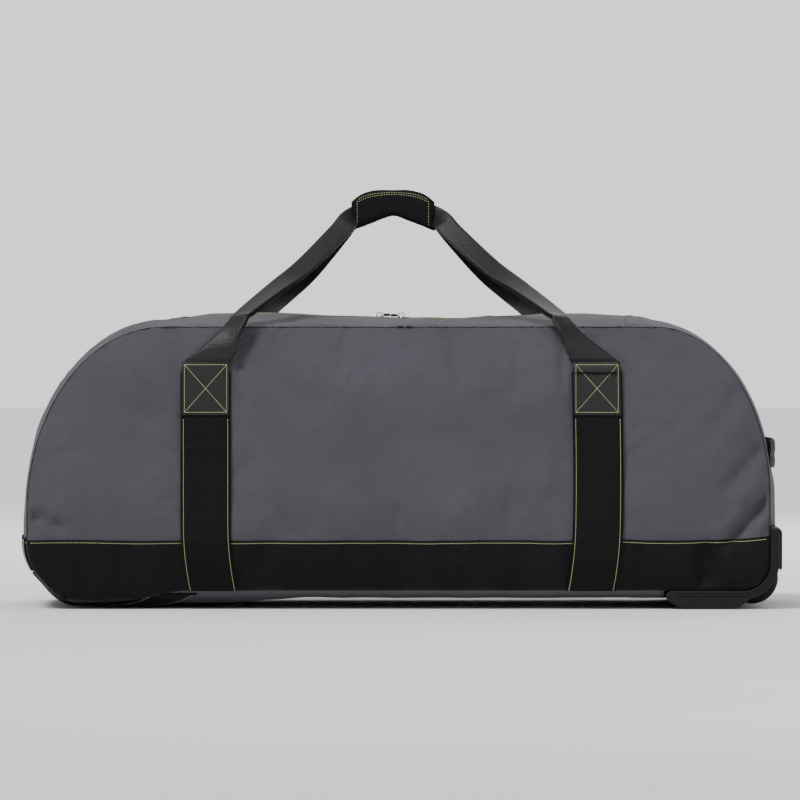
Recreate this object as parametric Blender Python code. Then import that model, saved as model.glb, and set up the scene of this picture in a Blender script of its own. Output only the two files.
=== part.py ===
"""A long soft duffel bag on two wheels.

+X runs along the bag towards the wheels, the front faces -Y and +Z is up. The origin is
the middle of the footprint, on the floor. All lengths are in metres.

The shell is a front and a rear panel joined by a strip, the gusset, that runs all round
between them. Along the top a zip splits the gusset into two flaps.
"""

import math

import bmesh
import bpy
from mathutils import Vector

# Shell outline, seen from the front, along the seams that join panels and gusset.
SEAM_Y = 0.165
TOP_Z = 0.338
BOTTOM_Z = 0.022
BASE_Z = 0.082
LEFT_X = -0.449
RIGHT_X = 0.443
TOP_LEFT_X = -0.285
TOP_RIGHT_X = 0.305
LEFT_SHOULDER_Z = 0.115
RIGHT_SHOULDER_Z = 0.135
LEFT_CORNER_R = 0.055
RIGHT_CORNER_R = 0.033
PANEL_BULGE = 0.028
END_BULGE = 0.0065
RIGHT_END_BULGE = 0.003
FABRIC = 0.0025
GAP = 0.0005
GUSSET_EDGE_Y = SEAM_Y - FABRIC - GAP

# Zip and mouth.
ZIP_LEFT_X = -0.254
ZIP_RIGHT_X = 0.269
CREST_X = 0.020
CREST_Z = 0.346
CREST_END_Z = 0.352
HINGE_Y = 0.160
TAPE_EDGE_Y = 0.013
ZIP_GAP_Y = 0.0008
SLIDER_X = {"left": -0.0258, "right": 0.0006}
SLIDER_LENGTH = 0.0105
SLIDER_WIDTH = 0.0085
PULL_LENGTH = 0.0125

# Bottom gusset: it sags lowest near the left, where the pull harness crosses it.
SAG_LEFT = 0.0185
SAG_MIDDLE = 0.012
SAG_LEFT_X = -0.24
SAG_MIDDLE_X = -0.10
BOTTOM_END_X = 0.312
HALF_TURN = math.sin(math.radians(45.5))

# Webbing.
BAND_X = 0.234
BAND_WIDTH = 0.060
BAND_TOP_Z = 0.2945
BAND_GAP = 0.0014
WEB = 0.0022
LEG_START_Z = 0.2955
LEG_END_WIDTH = 0.030
GRIP_X = -0.0098
GRIP_HALF = 0.0505
GRIP_Z = 0.4873
GRIP_ARCH = 0.0163
GRIP_HALF_HEIGHT = 0.0158
GRIP_HALF_DEPTH = 0.0165
HARNESS_X = -0.2735
HARNESS_WEB = 0.0022
HARNESS_GAP = 0.0013
HAUL_Z = 0.065
HAUL_WIDTH = 0.038
GRAB_Z = 0.184
GRAB_WIDTH = 0.034
GRAB_HALF = 0.070
GRAB_X = 0.4505

# Wheels and their housings.
WHEEL_X = 0.4225
WHEEL_Z = 0.0362
WHEEL_R = 0.0312
WHEEL_Y = 0.129
WHEEL_WIDTH = 0.024
HUB_R = 0.0212
BEARING_R = 0.011
BEARING_WIDTH = 0.007
AXLE_R = 0.004
HOUSING_OUT_Y = 0.168
HOUSING_IN_Y = 0.082
HOUSING_X = 0.4575
HOUSING_TOP_Z = 0.097
HOUSING_TIP_X = 0.3175
CAVITY_R = 0.0345
CAVITY_HALF = 0.017
WELL_WALL = 0.004
SCREW_Z = 0.086
SCREW_Y = (0.154, 0.098)

CENTRE = Vector((0, 0, 0.18))


def clear_scene():
    for obj in list(bpy.data.objects):
        bpy.data.objects.remove(obj, do_unlink=True)


def material(name, colour, roughness, metallic=0.0):
    made = bpy.data.materials.new(name)
    made.use_nodes = True
    shader = made.node_tree.nodes["Principled BSDF"]
    shader.inputs["Base Color"].default_value = (*colour, 1)
    shader.inputs["Roughness"].default_value = roughness
    shader.inputs["Metallic"].default_value = metallic
    return made


def add_object(name, mesh_data, look, origin=(0, 0, 0), smooth=True):
    """Closes the bmesh into an object whose own origin is at the given point."""
    origin = Vector(origin)
    bmesh.ops.remove_doubles(mesh_data, verts=mesh_data.verts, dist=1e-6)
    bmesh.ops.recalc_face_normals(mesh_data, faces=mesh_data.faces)
    bmesh.ops.translate(mesh_data, verts=mesh_data.verts, vec=-origin)
    mesh = bpy.data.meshes.new(name)
    mesh_data.to_mesh(mesh)
    mesh_data.free()
    if smooth:
        mesh.shade_smooth()
        mesh.set_sharp_from_angle(angle=math.radians(35))
    mesh.materials.append(look)
    obj = bpy.data.objects.new(name, mesh)
    obj.location = origin
    bpy.context.scene.collection.objects.link(obj)
    return obj


def spaced(start, end, count):
    return [start + (end - start) * i / (count - 1) for i in range(count)]


def loft(name, rings, look, origin=(0, 0, 0), closed=False):
    """A solid through equal rings of points, capped at both ends unless it closes on itself."""
    made = bmesh.new()
    loops = [[made.verts.new(p) for p in ring] for ring in rings]
    pairs = list(zip(loops, loops[1:]))
    if closed:
        pairs.append((loops[-1], loops[0]))
    else:
        made.faces.new(loops[0])
        made.faces.new(loops[-1])
    for low, high in pairs:
        for i in range(len(low)):
            j = (i + 1) % len(low)
            made.faces.new((low[i], low[j], high[j], high[i]))
    return add_object(name, made, look, origin)


def sheet(name, rows, thickness, look, origin=(0, 0, 0)):
    """Fabric: a grid of points on its outer face, thickened towards the middle of the bag."""
    across, along = len(rows), len(rows[0])
    normals = []
    for i in range(across):
        line = []
        for j in range(along):
            du = rows[min(i + 1, across - 1)][j] - rows[max(i - 1, 0)][j]
            dv = rows[i][min(j + 1, along - 1)] - rows[i][max(j - 1, 0)]
            line.append(du.cross(dv).normalized())
        normals.append(line)
    middle = rows[across // 2][along // 2]
    if normals[across // 2][along // 2].dot(middle - CENTRE) < 0:
        normals = [[-n for n in line] for line in normals]
    made = bmesh.new()
    outer = [[made.verts.new(p) for p in row] for row in rows]
    inner = [
        [made.verts.new(p - n * thickness) for p, n in zip(row, line)]
        for row, line in zip(rows, normals)
    ]
    for grid in (outer, inner):
        for i in range(across - 1):
            for j in range(along - 1):
                made.faces.new((grid[i][j], grid[i][j + 1], grid[i + 1][j + 1], grid[i + 1][j]))
    rim_outer = outline_of(outer)
    rim_inner = outline_of(inner)
    for i in range(len(rim_outer)):
        j = (i + 1) % len(rim_outer)
        made.faces.new((rim_outer[i], rim_outer[j], rim_inner[j], rim_inner[i]))
    return add_object(name, made, look, origin)


def outline_of(grid):
    bottom = grid[0]
    right = [row[-1] for row in grid[1:]]
    top = list(reversed(grid[-1][:-1]))
    left = [row[0] for row in reversed(grid[1:-1])]
    return bottom + right + top + left


def strap_ring(point, across, normal, width, thickness):
    """A flat strap's section: its underside at the point, its thickness along the normal."""
    side = across.normalized() * (width / 2)
    lift = normal.normalized() * thickness
    return [point - side, point + side, point + side + lift, point - side + lift]


def box(name, low, high, look):
    made = bmesh.new()
    bmesh.ops.create_cube(made, size=1)
    for vert in made.verts:
        for i in range(3):
            vert.co[i] = low[i] if vert.co[i] < 0 else high[i]
    return add_object(name, made, look, smooth=False)


def lathe_y(name, profile, centre, look, segments=32, ring=False):
    """Turns (radius, y) points about the Y axis through the centre."""
    rings = []
    for k in range(segments):
        angle = 2 * math.pi * k / segments
        rings.append(
            [
                Vector((centre[0] + r * math.cos(angle), centre[1] + y, centre[2] + r * math.sin(angle)))
                for r, y in profile
            ]
        )
    if ring:
        return loft(name, rings, look, centre, closed=True)
    made = bmesh.new()
    loops = [[made.verts.new(p) for p in points] for points in rings]
    for k in range(segments):
        here, after = loops[k], loops[(k + 1) % segments]
        for i in range(len(profile) - 1):
            made.faces.new((here[i], here[i + 1], after[i + 1], after[i]))
    made.faces.new([loop[0] for loop in loops])
    made.faces.new([loop[-1] for loop in loops])
    return add_object(name, made, look, centre)


def boolean(target, other, operation):
    """Keeps the cutter or tool as a hidden helper of the object."""
    other.hide_render = True
    other.display_type = "WIRE"
    step = target.modifiers.new(operation.title(), "BOOLEAN")
    step.operation = operation
    step.object = other
    step.solver = "EXACT"


# Shell outline


def left_x(z):
    if z > LEFT_SHOULDER_Z:
        rise = min((z - LEFT_SHOULDER_Z) / (TOP_Z - LEFT_SHOULDER_Z), 1)
        return TOP_LEFT_X + (LEFT_X - TOP_LEFT_X) * math.sqrt(1 - rise * rise)
    drop = max(BOTTOM_Z + LEFT_CORNER_R - z, 0)
    return LEFT_X + LEFT_CORNER_R - math.sqrt(LEFT_CORNER_R**2 - drop**2)


def right_x(z):
    if z > RIGHT_SHOULDER_Z:
        rise = min((z - RIGHT_SHOULDER_Z) / (TOP_Z - RIGHT_SHOULDER_Z), 1)
        return TOP_RIGHT_X + (RIGHT_X - TOP_RIGHT_X) * math.sqrt(1 - rise * rise)
    drop = max(BOTTOM_Z + RIGHT_CORNER_R - z, 0)
    return RIGHT_X - RIGHT_CORNER_R + math.sqrt(RIGHT_CORNER_R**2 - drop**2)


def panel_depth(x, z):
    """Distance of the front or rear panel's outer face from the bag's middle plane."""
    low, high = left_x(z), right_x(z)
    u = (2 * x - low - high) / (high - low)
    v = (2 * z - TOP_Z - BOTTOM_Z) / (TOP_Z - BOTTOM_Z)
    return SEAM_Y + PANEL_BULGE * (1 - min(u * u, 1) ** 2) * (1 - min(v * v, 1) ** 2)


def panel_heights(low, high, count):
    """Heights that crowd together towards the flat top, where the outline turns fastest."""
    if high < TOP_Z:
        return spaced(low, high, count)
    turn = spaced(math.asin((low - BASE_Z) / (TOP_Z - BASE_Z)), math.pi / 2, count)
    return [BASE_Z + (TOP_Z - BASE_Z) * math.sin(a) for a in turn]


def panel(name, side, low, high, count, look):
    rows = []
    for z in panel_heights(low, high, count):
        line = spaced(left_x(z), right_x(z), 21)
        rows.append([Vector((x, side * panel_depth(x, z), z)) for x in line])
    sheet(name, rows, FABRIC, look)


def crest_z(x):
    """Height of the zip line, a shallow V along the top."""
    end = ZIP_LEFT_X if x < CREST_X else ZIP_RIGHT_X
    return CREST_Z + (CREST_END_Z - CREST_Z) * (x - CREST_X) / (end - CREST_X)


def top_z(x, y):
    return TOP_Z + (crest_z(x) - TOP_Z) * (1 - (y / SEAM_Y) ** 2)


def bottom_sag(x):
    blend = min(max((x - SAG_LEFT_X) / (SAG_MIDDLE_X - SAG_LEFT_X), 0), 1)
    return SAG_LEFT + (SAG_MIDDLE - SAG_LEFT) * blend * blend * (3 - 2 * blend)


def bottom_z(x, y):
    return BOTTOM_Z - bottom_sag(x) * (1 - (y / SEAM_Y) ** 6)


# Shell


def end_panel(name, sign, low, look):
    """The gusset round one end, from the top of the base up to the zip's end."""
    shoulder = LEFT_SHOULDER_Z if sign < 0 else RIGHT_SHOULDER_Z
    corner_x = TOP_LEFT_X if sign < 0 else TOP_RIGHT_X
    side_x = LEFT_X if sign < 0 else RIGHT_X
    zip_x = ZIP_LEFT_X if sign < 0 else ZIP_RIGHT_X
    bulge = END_BULGE if sign < 0 else RIGHT_END_BULGE
    path = [(side_x, low, sign, 0, bulge)]
    for angle in spaced(0, math.pi / 2, 15):
        x = corner_x + (side_x - corner_x) * math.cos(angle)
        z = shoulder + (TOP_Z - shoulder) * math.sin(angle)
        lift = bulge + (CREST_END_Z - TOP_Z - bulge) * math.sin(angle) ** 3
        path.append((x, z, sign * math.cos(angle), math.sin(angle), lift))
    path.append((zip_x + sign * GAP, TOP_Z, 0, 1, CREST_END_Z - TOP_Z))
    rows = []
    for x, z, out_x, out_z, lift in path:
        line = []
        for y in spaced(-GUSSET_EDGE_Y, GUSSET_EDGE_Y, 9):
            rise = lift * (1 - (y / SEAM_Y) ** 2)
            line.append(Vector((x + out_x * rise, y, z + out_z * rise)))
        rows.append(line)
    sheet(name, rows, FABRIC, look)


def corner_path(sign, radius, side_x, first, last, count):
    """Points round a bottom corner; the angle runs from level (0) to straight down (90)."""
    centre_x = side_x - sign * radius
    centre_z = BOTTOM_Z + radius
    made = []
    for angle in spaced(first, last, count):
        a = math.radians(angle)
        made.append(
            (
                centre_x + sign * radius * math.cos(a),
                centre_z - radius * math.sin(a),
                sign * math.cos(a),
                -math.sin(a),
            )
        )
    return made


def corner_rise(down, y):
    """How far the gusset stands out from the left bottom corner where it faces down this much."""
    flat = 1 - (y / SEAM_Y) ** 6
    round_end = END_BULGE * (1 - (y / SEAM_Y) ** 2)
    turned = max((down - HALF_TURN) / (1 - HALF_TURN), 0) ** 2
    return round_end + (SAG_LEFT * flat - round_end) * turned


def base_left(look):
    path = [(LEFT_X, BASE_Z, -1, 0)] + corner_path(-1, LEFT_CORNER_R, LEFT_X, 0, 44, 6)
    rows = []
    for x, z, out_x, out_z in path:
        line = []
        for y in spaced(-GUSSET_EDGE_Y, GUSSET_EDGE_Y, 9):
            rise = END_BULGE * (1 - (y / SEAM_Y) ** 2)
            line.append(Vector((x + out_x * rise, y, z + out_z * rise)))
        rows.append(line)
    sheet("base_left", rows, FABRIC, look)


def bottom_panel(look):
    """The gusset under the bag, from half way round the left corner to the housings."""
    rows = []
    for x, z, out_x, out_z in corner_path(-1, LEFT_CORNER_R, LEFT_X, 45.5, 90, 6):
        line = []
        for y in spaced(-GUSSET_EDGE_Y, GUSSET_EDGE_Y, 13):
            rise = corner_rise(-out_z, y)
            line.append(Vector((x + out_x * rise, y, z + out_z * rise)))
        rows.append(line)
    for x in spaced(LEFT_X + LEFT_CORNER_R + 0.03, BOTTOM_END_X, 15):
        line = spaced(-GUSSET_EDGE_Y, GUSSET_EDGE_Y, 13)
        rows.append([Vector((x, y, bottom_z(x, y))) for y in line])
    sheet("bottom_panel", rows, FABRIC, look)


def base_right(look):
    """The black fabric between the two wheel housings."""
    path = [(BOTTOM_END_X + GAP, BOTTOM_Z, 0, -1)]
    path += reversed(corner_path(1, RIGHT_CORNER_R, RIGHT_X, 0, 90, 8))
    path += [(RIGHT_X, HOUSING_TOP_Z, 1, 0)]
    edge = HOUSING_IN_Y - 2 * GAP
    rows = []
    for x, z, out_x, out_z in path:
        line = []
        for y in spaced(-edge, edge, 7):
            bulge = -out_z * SAG_MIDDLE + out_x * RIGHT_END_BULGE
            rise = bulge * (1 - (y / SEAM_Y) ** 2)
            line.append(Vector((x + out_x * rise, y, z + out_z * rise)))
        rows.append(line)
    sheet("base_right", rows, FABRIC, look)


def boards(look):
    box("base_board", (-0.375, -0.140, 0.0195), (0.300, 0.140, 0.0225), look)
    box("wheel_end_board", (0.434, -0.080, 0.060), (0.437, 0.080, 0.165), look)


# Mouth


def mouth_half(word, side, fabric_look, tape_look):
    """One flap of the top gusset with its half of the zip, both turning on the side seam."""
    hinge = (0, side * (HINGE_Y - 0.0005), top_z(0, HINGE_Y) - FABRIC / 2)
    rows = []
    for x in spaced(ZIP_LEFT_X, ZIP_RIGHT_X, 22):
        line = spaced(HINGE_Y, TAPE_EDGE_Y + GAP, 7)
        rows.append([Vector((x, side * y, top_z(x, y))) for y in line])
    sheet("top_flap_" + word, rows, FABRIC, fabric_look, hinge)
    rows = []
    for x in spaced(ZIP_LEFT_X, ZIP_RIGHT_X, 22):
        line = spaced(TAPE_EDGE_Y, ZIP_GAP_Y, 3)
        rows.append([Vector((x, side * y, top_z(x, y))) for y in line])
    sheet("zip_half_" + word, rows, FABRIC * 0.7, tape_look, hinge)


def zip_stop(word, sign, look):
    x = (ZIP_LEFT_X if sign < 0 else ZIP_RIGHT_X) + sign * 0.008
    z = CREST_END_Z + GAP
    box("zip_stop_" + word, (x - 0.005, -0.014, z), (x + 0.005, 0.014, z + 0.0015), look)


def slider(word, look):
    """A slider: a plate over the coil with an arch that holds the pull."""
    x = SLIDER_X[word]
    z = crest_z(x) + GAP + 0.0001
    half = SLIDER_LENGTH / 2
    plate = 0.0022
    name = "slider_" + word
    body = box(
        name, (x - half, -SLIDER_WIDTH / 2, z), (x + half, SLIDER_WIDTH / 2, z + plate), look
    )
    arch = bmesh.new()
    outline = [(-0.0043, 0), (-0.0043, 0.0044), (-0.0033, 0.0055), (0.0033, 0.0055)]
    outline += [(0.0043, 0.0044), (0.0043, 0), (0.0031, 0), (0.0031, 0.0042)]
    outline += [(-0.0031, 0.0042), (-0.0031, 0)]
    sides = []
    for y in (-0.0014, 0.0014):
        sides.append([arch.verts.new((x + dx, y, z + plate - 0.0004 + dz)) for dx, dz in outline])
    arch.faces.new(sides[0])
    arch.faces.new(sides[1])
    for i in range(len(outline)):
        j = (i + 1) % len(outline)
        arch.faces.new((sides[0][i], sides[0][j], sides[1][j], sides[1][i]))
    helper = add_object(name + "_arch", arch, look, smooth=False)
    boolean(body, helper, "UNION")
    return z + plate


def pull_tab(word, sign, plate_top, look):
    """A flat pull whose end bar runs under the slider's arch."""
    pivot = Vector((SLIDER_X[word], 0, plate_top + 0.0012))
    half_thick, half_wide, bar = 0.0006, 0.0037, 0.0006
    hole_end, hole_half = 0.0068, 0.0022
    made = bmesh.new()
    outer = [(-bar, -half_wide), (PULL_LENGTH, -half_wide), (PULL_LENGTH, half_wide), (-bar, half_wide)]
    inner = [(bar, -hole_half), (hole_end, -hole_half), (hole_end, hole_half), (bar, hole_half)]
    grids = []
    for dz in (-half_thick, half_thick):
        grids.append(
            [
                [made.verts.new(pivot + Vector((sign * dx, dy, dz))) for dx, dy in ring]
                for ring in (outer, inner)
            ]
        )
    for big, small in grids:
        for i in range(4):
            j = (i + 1) % 4
            made.faces.new((big[i], big[j], small[j], small[i]))
    for ring in (0, 1):
        low, high = grids[0][ring], grids[1][ring]
        for i in range(4):
            j = (i + 1) % 4
            made.faces.new((low[i], low[j], high[j], high[i]))
    add_object("pull_tab_" + word, made, look, pivot, smooth=False)


# Webbing and handles


def band_x(sign, z):
    """Centre line of a band; the left one drifts inwards near the bottom seam."""
    drift = max(1 - (z - BOTTOM_Z) / 0.08, 0) ** 2
    return sign * BAND_X + (0.008 * drift if sign < 0 else 0)


def band(name, side, sign, look):
    rows = []
    for z in spaced(BOTTOM_Z + 0.001, BAND_TOP_Z, 19):
        line = []
        for x in spaced(-BAND_WIDTH / 2, BAND_WIDTH / 2, 3):
            place = band_x(sign, z) + x
            out = panel_depth(place, z) + BAND_GAP + WEB
            line.append(Vector((place, side * out, z)))
        rows.append(line)
    sheet(name, rows, WEB, look)


def leg_path(sign):
    """From the top of a band up to the grip: (distance from the grip's middle, y, z, width)."""
    reach = abs(sign * BAND_X - GRIP_X)
    start_y = panel_depth(sign * (BAND_X - BAND_WIDTH / 2), LEG_START_Z) + BAND_GAP
    return [
        (reach, start_y, LEG_START_Z, BAND_WIDTH - 0.002),
        (reach * 0.912, start_y - 0.001, 0.3255, 0.050),
        (reach * 0.828, start_y - 0.014, 0.350, 0.042),
        (reach * 0.72, start_y - 0.040, 0.368, 0.036),
        (reach * 0.60, 0.105, 0.384, LEG_END_WIDTH),
        (reach * 0.495, 0.072, 0.407, LEG_END_WIDTH),
        (reach * 0.385, 0.041, 0.435, LEG_END_WIDTH),
        (GRIP_HALF + 0.0135, 0.0105, GRIP_Z - GRIP_ARCH - 0.0095, LEG_END_WIDTH - 0.004),
    ]


def handle_leg(name, side, sign, look):
    points = leg_path(sign)
    places = [Vector((GRIP_X + sign * d, side * y, z)) for d, y, z, _ in points]
    rings = []
    for i, place in enumerate(places):
        ahead = places[min(i + 1, len(places) - 1)] - places[max(i - 1, 0)]
        across = Vector((0, side, 0)).cross(ahead)
        if i == 0:
            across = Vector((side, 0, 0))
        rings.append(strap_ring(place, across, Vector((0, side, 0)), points[i][3], WEB))
    loft(name, rings, look)


def grip_stations(half):
    """Points along the arched middle line of the grip."""
    made = []
    for t in spaced(-1, 1, 9):
        x = t * half
        made.append(Vector((GRIP_X + x, 0, GRIP_Z - GRIP_ARCH * (x / GRIP_HALF) ** 2)))
    return made


def grip_part(name, outline, look, half=GRIP_HALF, origin=(0, 0, 0)):
    """A piece of one (y, z) section along the grip's arch."""
    rings = [[p + Vector((0, y, z)) for y, z in outline] for p in grip_stations(half)]
    loft(name, rings, look, origin)


def grip(fabric_look, web_look, hook_look):
    deep, tall = GRIP_HALF_DEPTH, GRIP_HALF_HEIGHT
    inner_y, inner_z, front_y = 0.0078, 0.0128, -0.0088
    cut = 0.004
    wrap = [
        (front_y, tall), (front_y, inner_z), (inner_y, inner_z), (inner_y, -inner_z),
        (front_y, -inner_z), (front_y, -tall), (deep - cut, -tall), (deep, -tall + cut),
        (deep, tall - cut), (deep - cut, tall),
    ]
    grip_part("grip_wrap", wrap, fabric_look)
    face = front_y - GAP - 0.0012
    flap = [
        (face, tall), (face, -tall), (-deep + cut, -tall), (-deep, -tall + cut),
        (-deep, tall - cut), (-deep + cut, tall),
    ]
    pivot = (GRIP_X, face, GRIP_Z + tall)
    grip_part("grip_flap", flap, fabric_look, GRIP_HALF, pivot)
    strip_z = 0.0118
    strip_y = (-inner_y, face + 0.0004)
    strip = [(strip_y[0], -strip_z), (strip_y[0], strip_z), (strip_y[1], strip_z), (strip_y[1], -strip_z)]
    grip_part("grip_hook_strip", strip, hook_look, GRIP_HALF * 0.82)
    for word, side in (("front", -1), ("rear", 1)):
        low, high = 0.0012, 0.0062
        web = [(side * low, -0.0122), (side * low, 0.0122), (side * high, 0.0122), (side * high, -0.0122)]
        grip_part("grip_web_" + word, web, web_look, GRIP_HALF + 0.003)


def under_surface(s, y):
    """A point on the gusset s metres from the harness's seam, along the bottom and up the
    left corner, with the direction that faces out there."""
    flat_length = HARNESS_X - LEFT_X - LEFT_CORNER_R
    if s <= flat_length:
        x = HARNESS_X - s
        return Vector((x, y, bottom_z(x, y))), Vector((0, 0, -1))
    angle = math.pi / 2 - (s - flat_length) / LEFT_CORNER_R
    out = Vector((-math.cos(angle), 0, -math.sin(angle)))
    centre = Vector((LEFT_X + LEFT_CORNER_R, y, BOTTOM_Z + LEFT_CORNER_R))
    return centre + out * (LEFT_CORNER_R + corner_rise(math.sin(angle), y)), out


def harness(name, side, look):
    """Half of the V under the bag: from the bottom seam to the haul handle at the left end."""
    seam_y, half = SEAM_Y - 0.004, 0.0285
    near_y, far_y, top_s = 0.006, 0.048, 0.1725
    edges = []
    for u in spaced(0, 1, 15):
        near = (-half + u * (seam_y - near_y), seam_y + u * (near_y - seam_y))
        far = (half + u * (seam_y - far_y), seam_y + u * (far_y - seam_y))
        edges.append((near, far))
    turn_near, turn_far = edges[-1][0][0], edges[-1][1][0]
    for u in spaced(1 / 7, 1, 7):
        near = (turn_near + u * (top_s - turn_near), near_y)
        far = (turn_far + u * (top_s - turn_far), far_y)
        edges.append((near, far))
    rows = []
    for near, far in edges:
        row = []
        for t in spaced(0, 1, 5):
            at_s = near[0] + t * (far[0] - near[0])
            at_y = near[1] + t * (far[1] - near[1])
            place, out = under_surface(at_s, side * at_y)
            row.append(place + out * (HARNESS_GAP + HARNESS_WEB))
        rows.append(row)
    sheet(name, rows, HARNESS_WEB, look)


def end_bulge_x(sign, y):
    bulge = END_BULGE if sign < 0 else RIGHT_END_BULGE
    return bulge * (1 - (y / SEAM_Y) ** 2)


def haul_handle(look):
    """A flat strap across the left end."""
    rings = []
    for y in spaced(-0.112, 0.112, 13):
        x = LEFT_X - end_bulge_x(-1, y) - GAP - 0.0001
        rings.append(
            [
                Vector((x, y, HAUL_Z - HAUL_WIDTH / 2)),
                Vector((x, y, HAUL_Z + HAUL_WIDTH / 2)),
                Vector((x - WEB * 0.6, y, HAUL_Z + HAUL_WIDTH / 2)),
                Vector((x - WEB * 0.6, y, HAUL_Z - HAUL_WIDTH / 2)),
            ]
        )
    loft("haul_handle", rings, look)


def haul_anchor(word, side, look):
    """The stitched-down end of the haul strap."""
    rings = []
    for y in spaced(0.1125, 0.150, 4):
        x = LEFT_X - end_bulge_x(-1, y) - GAP - 0.0001
        low, high = HAUL_Z - HAUL_WIDTH / 2, HAUL_Z + HAUL_WIDTH / 2
        rings.append(
            [
                Vector((x, side * y, low)),
                Vector((x, side * y, high)),
                Vector((x - WEB * 0.6, side * y, high)),
                Vector((x - WEB * 0.6, side * y, low)),
            ]
        )
    loft("haul_anchor_" + word, rings, look)


def right_end_x(z, y):
    """Outer face of the right end panel."""
    rise = (z - RIGHT_SHOULDER_Z) / (TOP_Z - RIGHT_SHOULDER_Z)
    angle = math.asin(min(max(rise, 0), 1))
    lift = RIGHT_END_BULGE + (CREST_END_Z - TOP_Z - RIGHT_END_BULGE) * math.sin(angle) ** 3
    return right_x(z) + lift * (1 - (y / SEAM_Y) ** 2) * math.cos(angle)


def grab_ring(x, y, thick):
    low, high = GRAB_Z - GRAB_WIDTH / 2, GRAB_Z + GRAB_WIDTH / 2
    return [
        Vector((x, y, low)),
        Vector((x, y, high)),
        Vector((x + thick, y, high)),
        Vector((x + thick, y, low)),
    ]


def grab_handle(look):
    """A doubled strap that stands off the right end so that fingers go behind it."""
    rings = []
    for y in spaced(-GRAB_HALF, GRAB_HALF, 13):
        x = GRAB_X - 0.004 * (y / GRAB_HALF) ** 4
        rings.append(grab_ring(x, y, 0.0045))
    loft("grab_handle", rings, look)


def grab_anchor(word, side, look):
    """The end of the grab strap, running down onto the panel where it is sewn."""
    rings = []
    for beyond, x, thick in ((0.0006, 0.4466, 0.0045), (0.010, 0.4455, 0.004), (0.022, 0, 0.003), (0.040, 0, 0.003)):
        y = GRAB_HALF + beyond
        lowest = right_end_x(GRAB_Z - GRAB_WIDTH / 2, y) + 2 * GAP
        rings.append(grab_ring(max(x, lowest), side * y, thick))
    loft("grab_anchor_" + word, rings, look)


# Wheels


def arc_points(centre, radius, first, last, count):
    return [
        (
            centre[0] + radius * math.cos(math.radians(a)),
            centre[1] + radius * math.sin(math.radians(a)),
        )
        for a in spaced(first, last, count)
    ]


def prism_y(name, outline, low_y, high_y, look):
    """An (x, z) outline extruded along Y."""
    rings = [[Vector((x, y, z)) for x, z in outline] for y in (low_y, high_y)]
    return loft(name, rings, look)


def housing_outline():
    """The L-shaped guard round the bottom corner, cut back where the wheel looks out."""
    inner_x = RIGHT_X + GAP
    inner_z = BOTTOM_Z - GAP
    bend = (RIGHT_X - RIGHT_CORNER_R, BOTTOM_Z + RIGHT_CORNER_R)
    inner = arc_points(bend, RIGHT_CORNER_R + GAP, 0, -90, 8)
    outer = arc_points(bend, RIGHT_CORNER_R + 0.011, -78, -8, 8)
    skid_end = (0.405, 0.0)
    skid_start = (0.338, 0.0)
    tip = (HOUSING_TIP_X, 0.013)
    return (
        [(inner_x, HOUSING_TOP_Z)]
        + inner
        + [(HOUSING_TIP_X + 0.0045, inner_z), tip, skid_start, skid_end]
        + outer
        + [(HOUSING_X, 0.047), (HOUSING_X, HOUSING_TOP_Z - 0.0045), (HOUSING_X - 0.0045, HOUSING_TOP_Z)]
    )


def well_outline():
    """The round well inside the bag, closed off within the thickness of the guard."""
    bend = (RIGHT_X - RIGHT_CORNER_R, BOTTOM_Z + RIGHT_CORNER_R)
    dome = arc_points((WHEEL_X, WHEEL_Z), CAVITY_R + WELL_WALL, 30, 240, 20)
    return dome + arc_points(bend, RIGHT_CORNER_R + 0.0055, -95, 0, 8)


def cylinder_y(name, radius, centre_y, half, look, segments=32):
    profile = [(radius, -half), (radius, half)]
    return lathe_y(name, profile, (WHEEL_X, centre_y, WHEEL_Z), look, segments)


def cylinder_x(name, radius, low, high, y, z, look, segments=12):
    rings = []
    for x in (low, high):
        ring = []
        for k in range(segments):
            a = 2 * math.pi * k / segments
            ring.append(Vector((x, y + radius * math.cos(a), z + radius * math.sin(a))))
        rings.append(ring)
    return loft(name, rings, look)


def wheel_housing(word, side, look):
    """A moulded guard with a round well for the wheel, bored for the axle and two screws."""
    name = word + "_wheel_housing"
    low, high = sorted((side * HOUSING_OUT_Y, side * HOUSING_IN_Y))
    body = prism_y(name, housing_outline(), low, high, look)
    centre_y = side * WHEEL_Y
    half = CAVITY_HALF + WELL_WALL
    well = prism_y(name + "_well", well_outline(), centre_y - half, centre_y + half, look)
    boolean(body, well, "UNION")
    cavity = cylinder_y(name + "_cavity", CAVITY_R, centre_y, CAVITY_HALF, look)
    boolean(body, cavity, "DIFFERENCE")
    bore = cylinder_y(name + "_bore", AXLE_R + 0.0004, centre_y, 0.03, look, 20)
    boolean(body, bore, "DIFFERENCE")
    for k, y in enumerate(SCREW_Y):
        hole = cylinder_x(f"{name}_hole_{k}", 0.0023, 0.4435 - 0.01, 0.47, side * y, SCREW_Z, look)
        boolean(body, hole, "DIFFERENCE")
        seat = cylinder_x(f"{name}_seat_{k}", 0.0043, HOUSING_X - 0.0032, 0.47, side * y, SCREW_Z, look)
        boolean(body, seat, "DIFFERENCE")


def housing_screw(name, side, y, look):
    """A pan-head screw turned about its own axis, its head in the counterbore."""
    outer, seat, tip = HOUSING_X - 0.0006, HOUSING_X - 0.0029, 0.4445
    outline = [(outer, 0.0030), (outer - 0.0008, 0.0038), (seat, 0.0038), (seat, 0.0018), (tip, 0.0018)]
    segments = 12
    rings = []
    for x, radius in outline:
        ring = []
        for k in range(segments):
            a = 2 * math.pi * k / segments
            ring.append(
                Vector((x, side * y + radius * math.cos(a), SCREW_Z + radius * math.sin(a)))
            )
        rings.append(ring)
    loft(name, rings, look)


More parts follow.
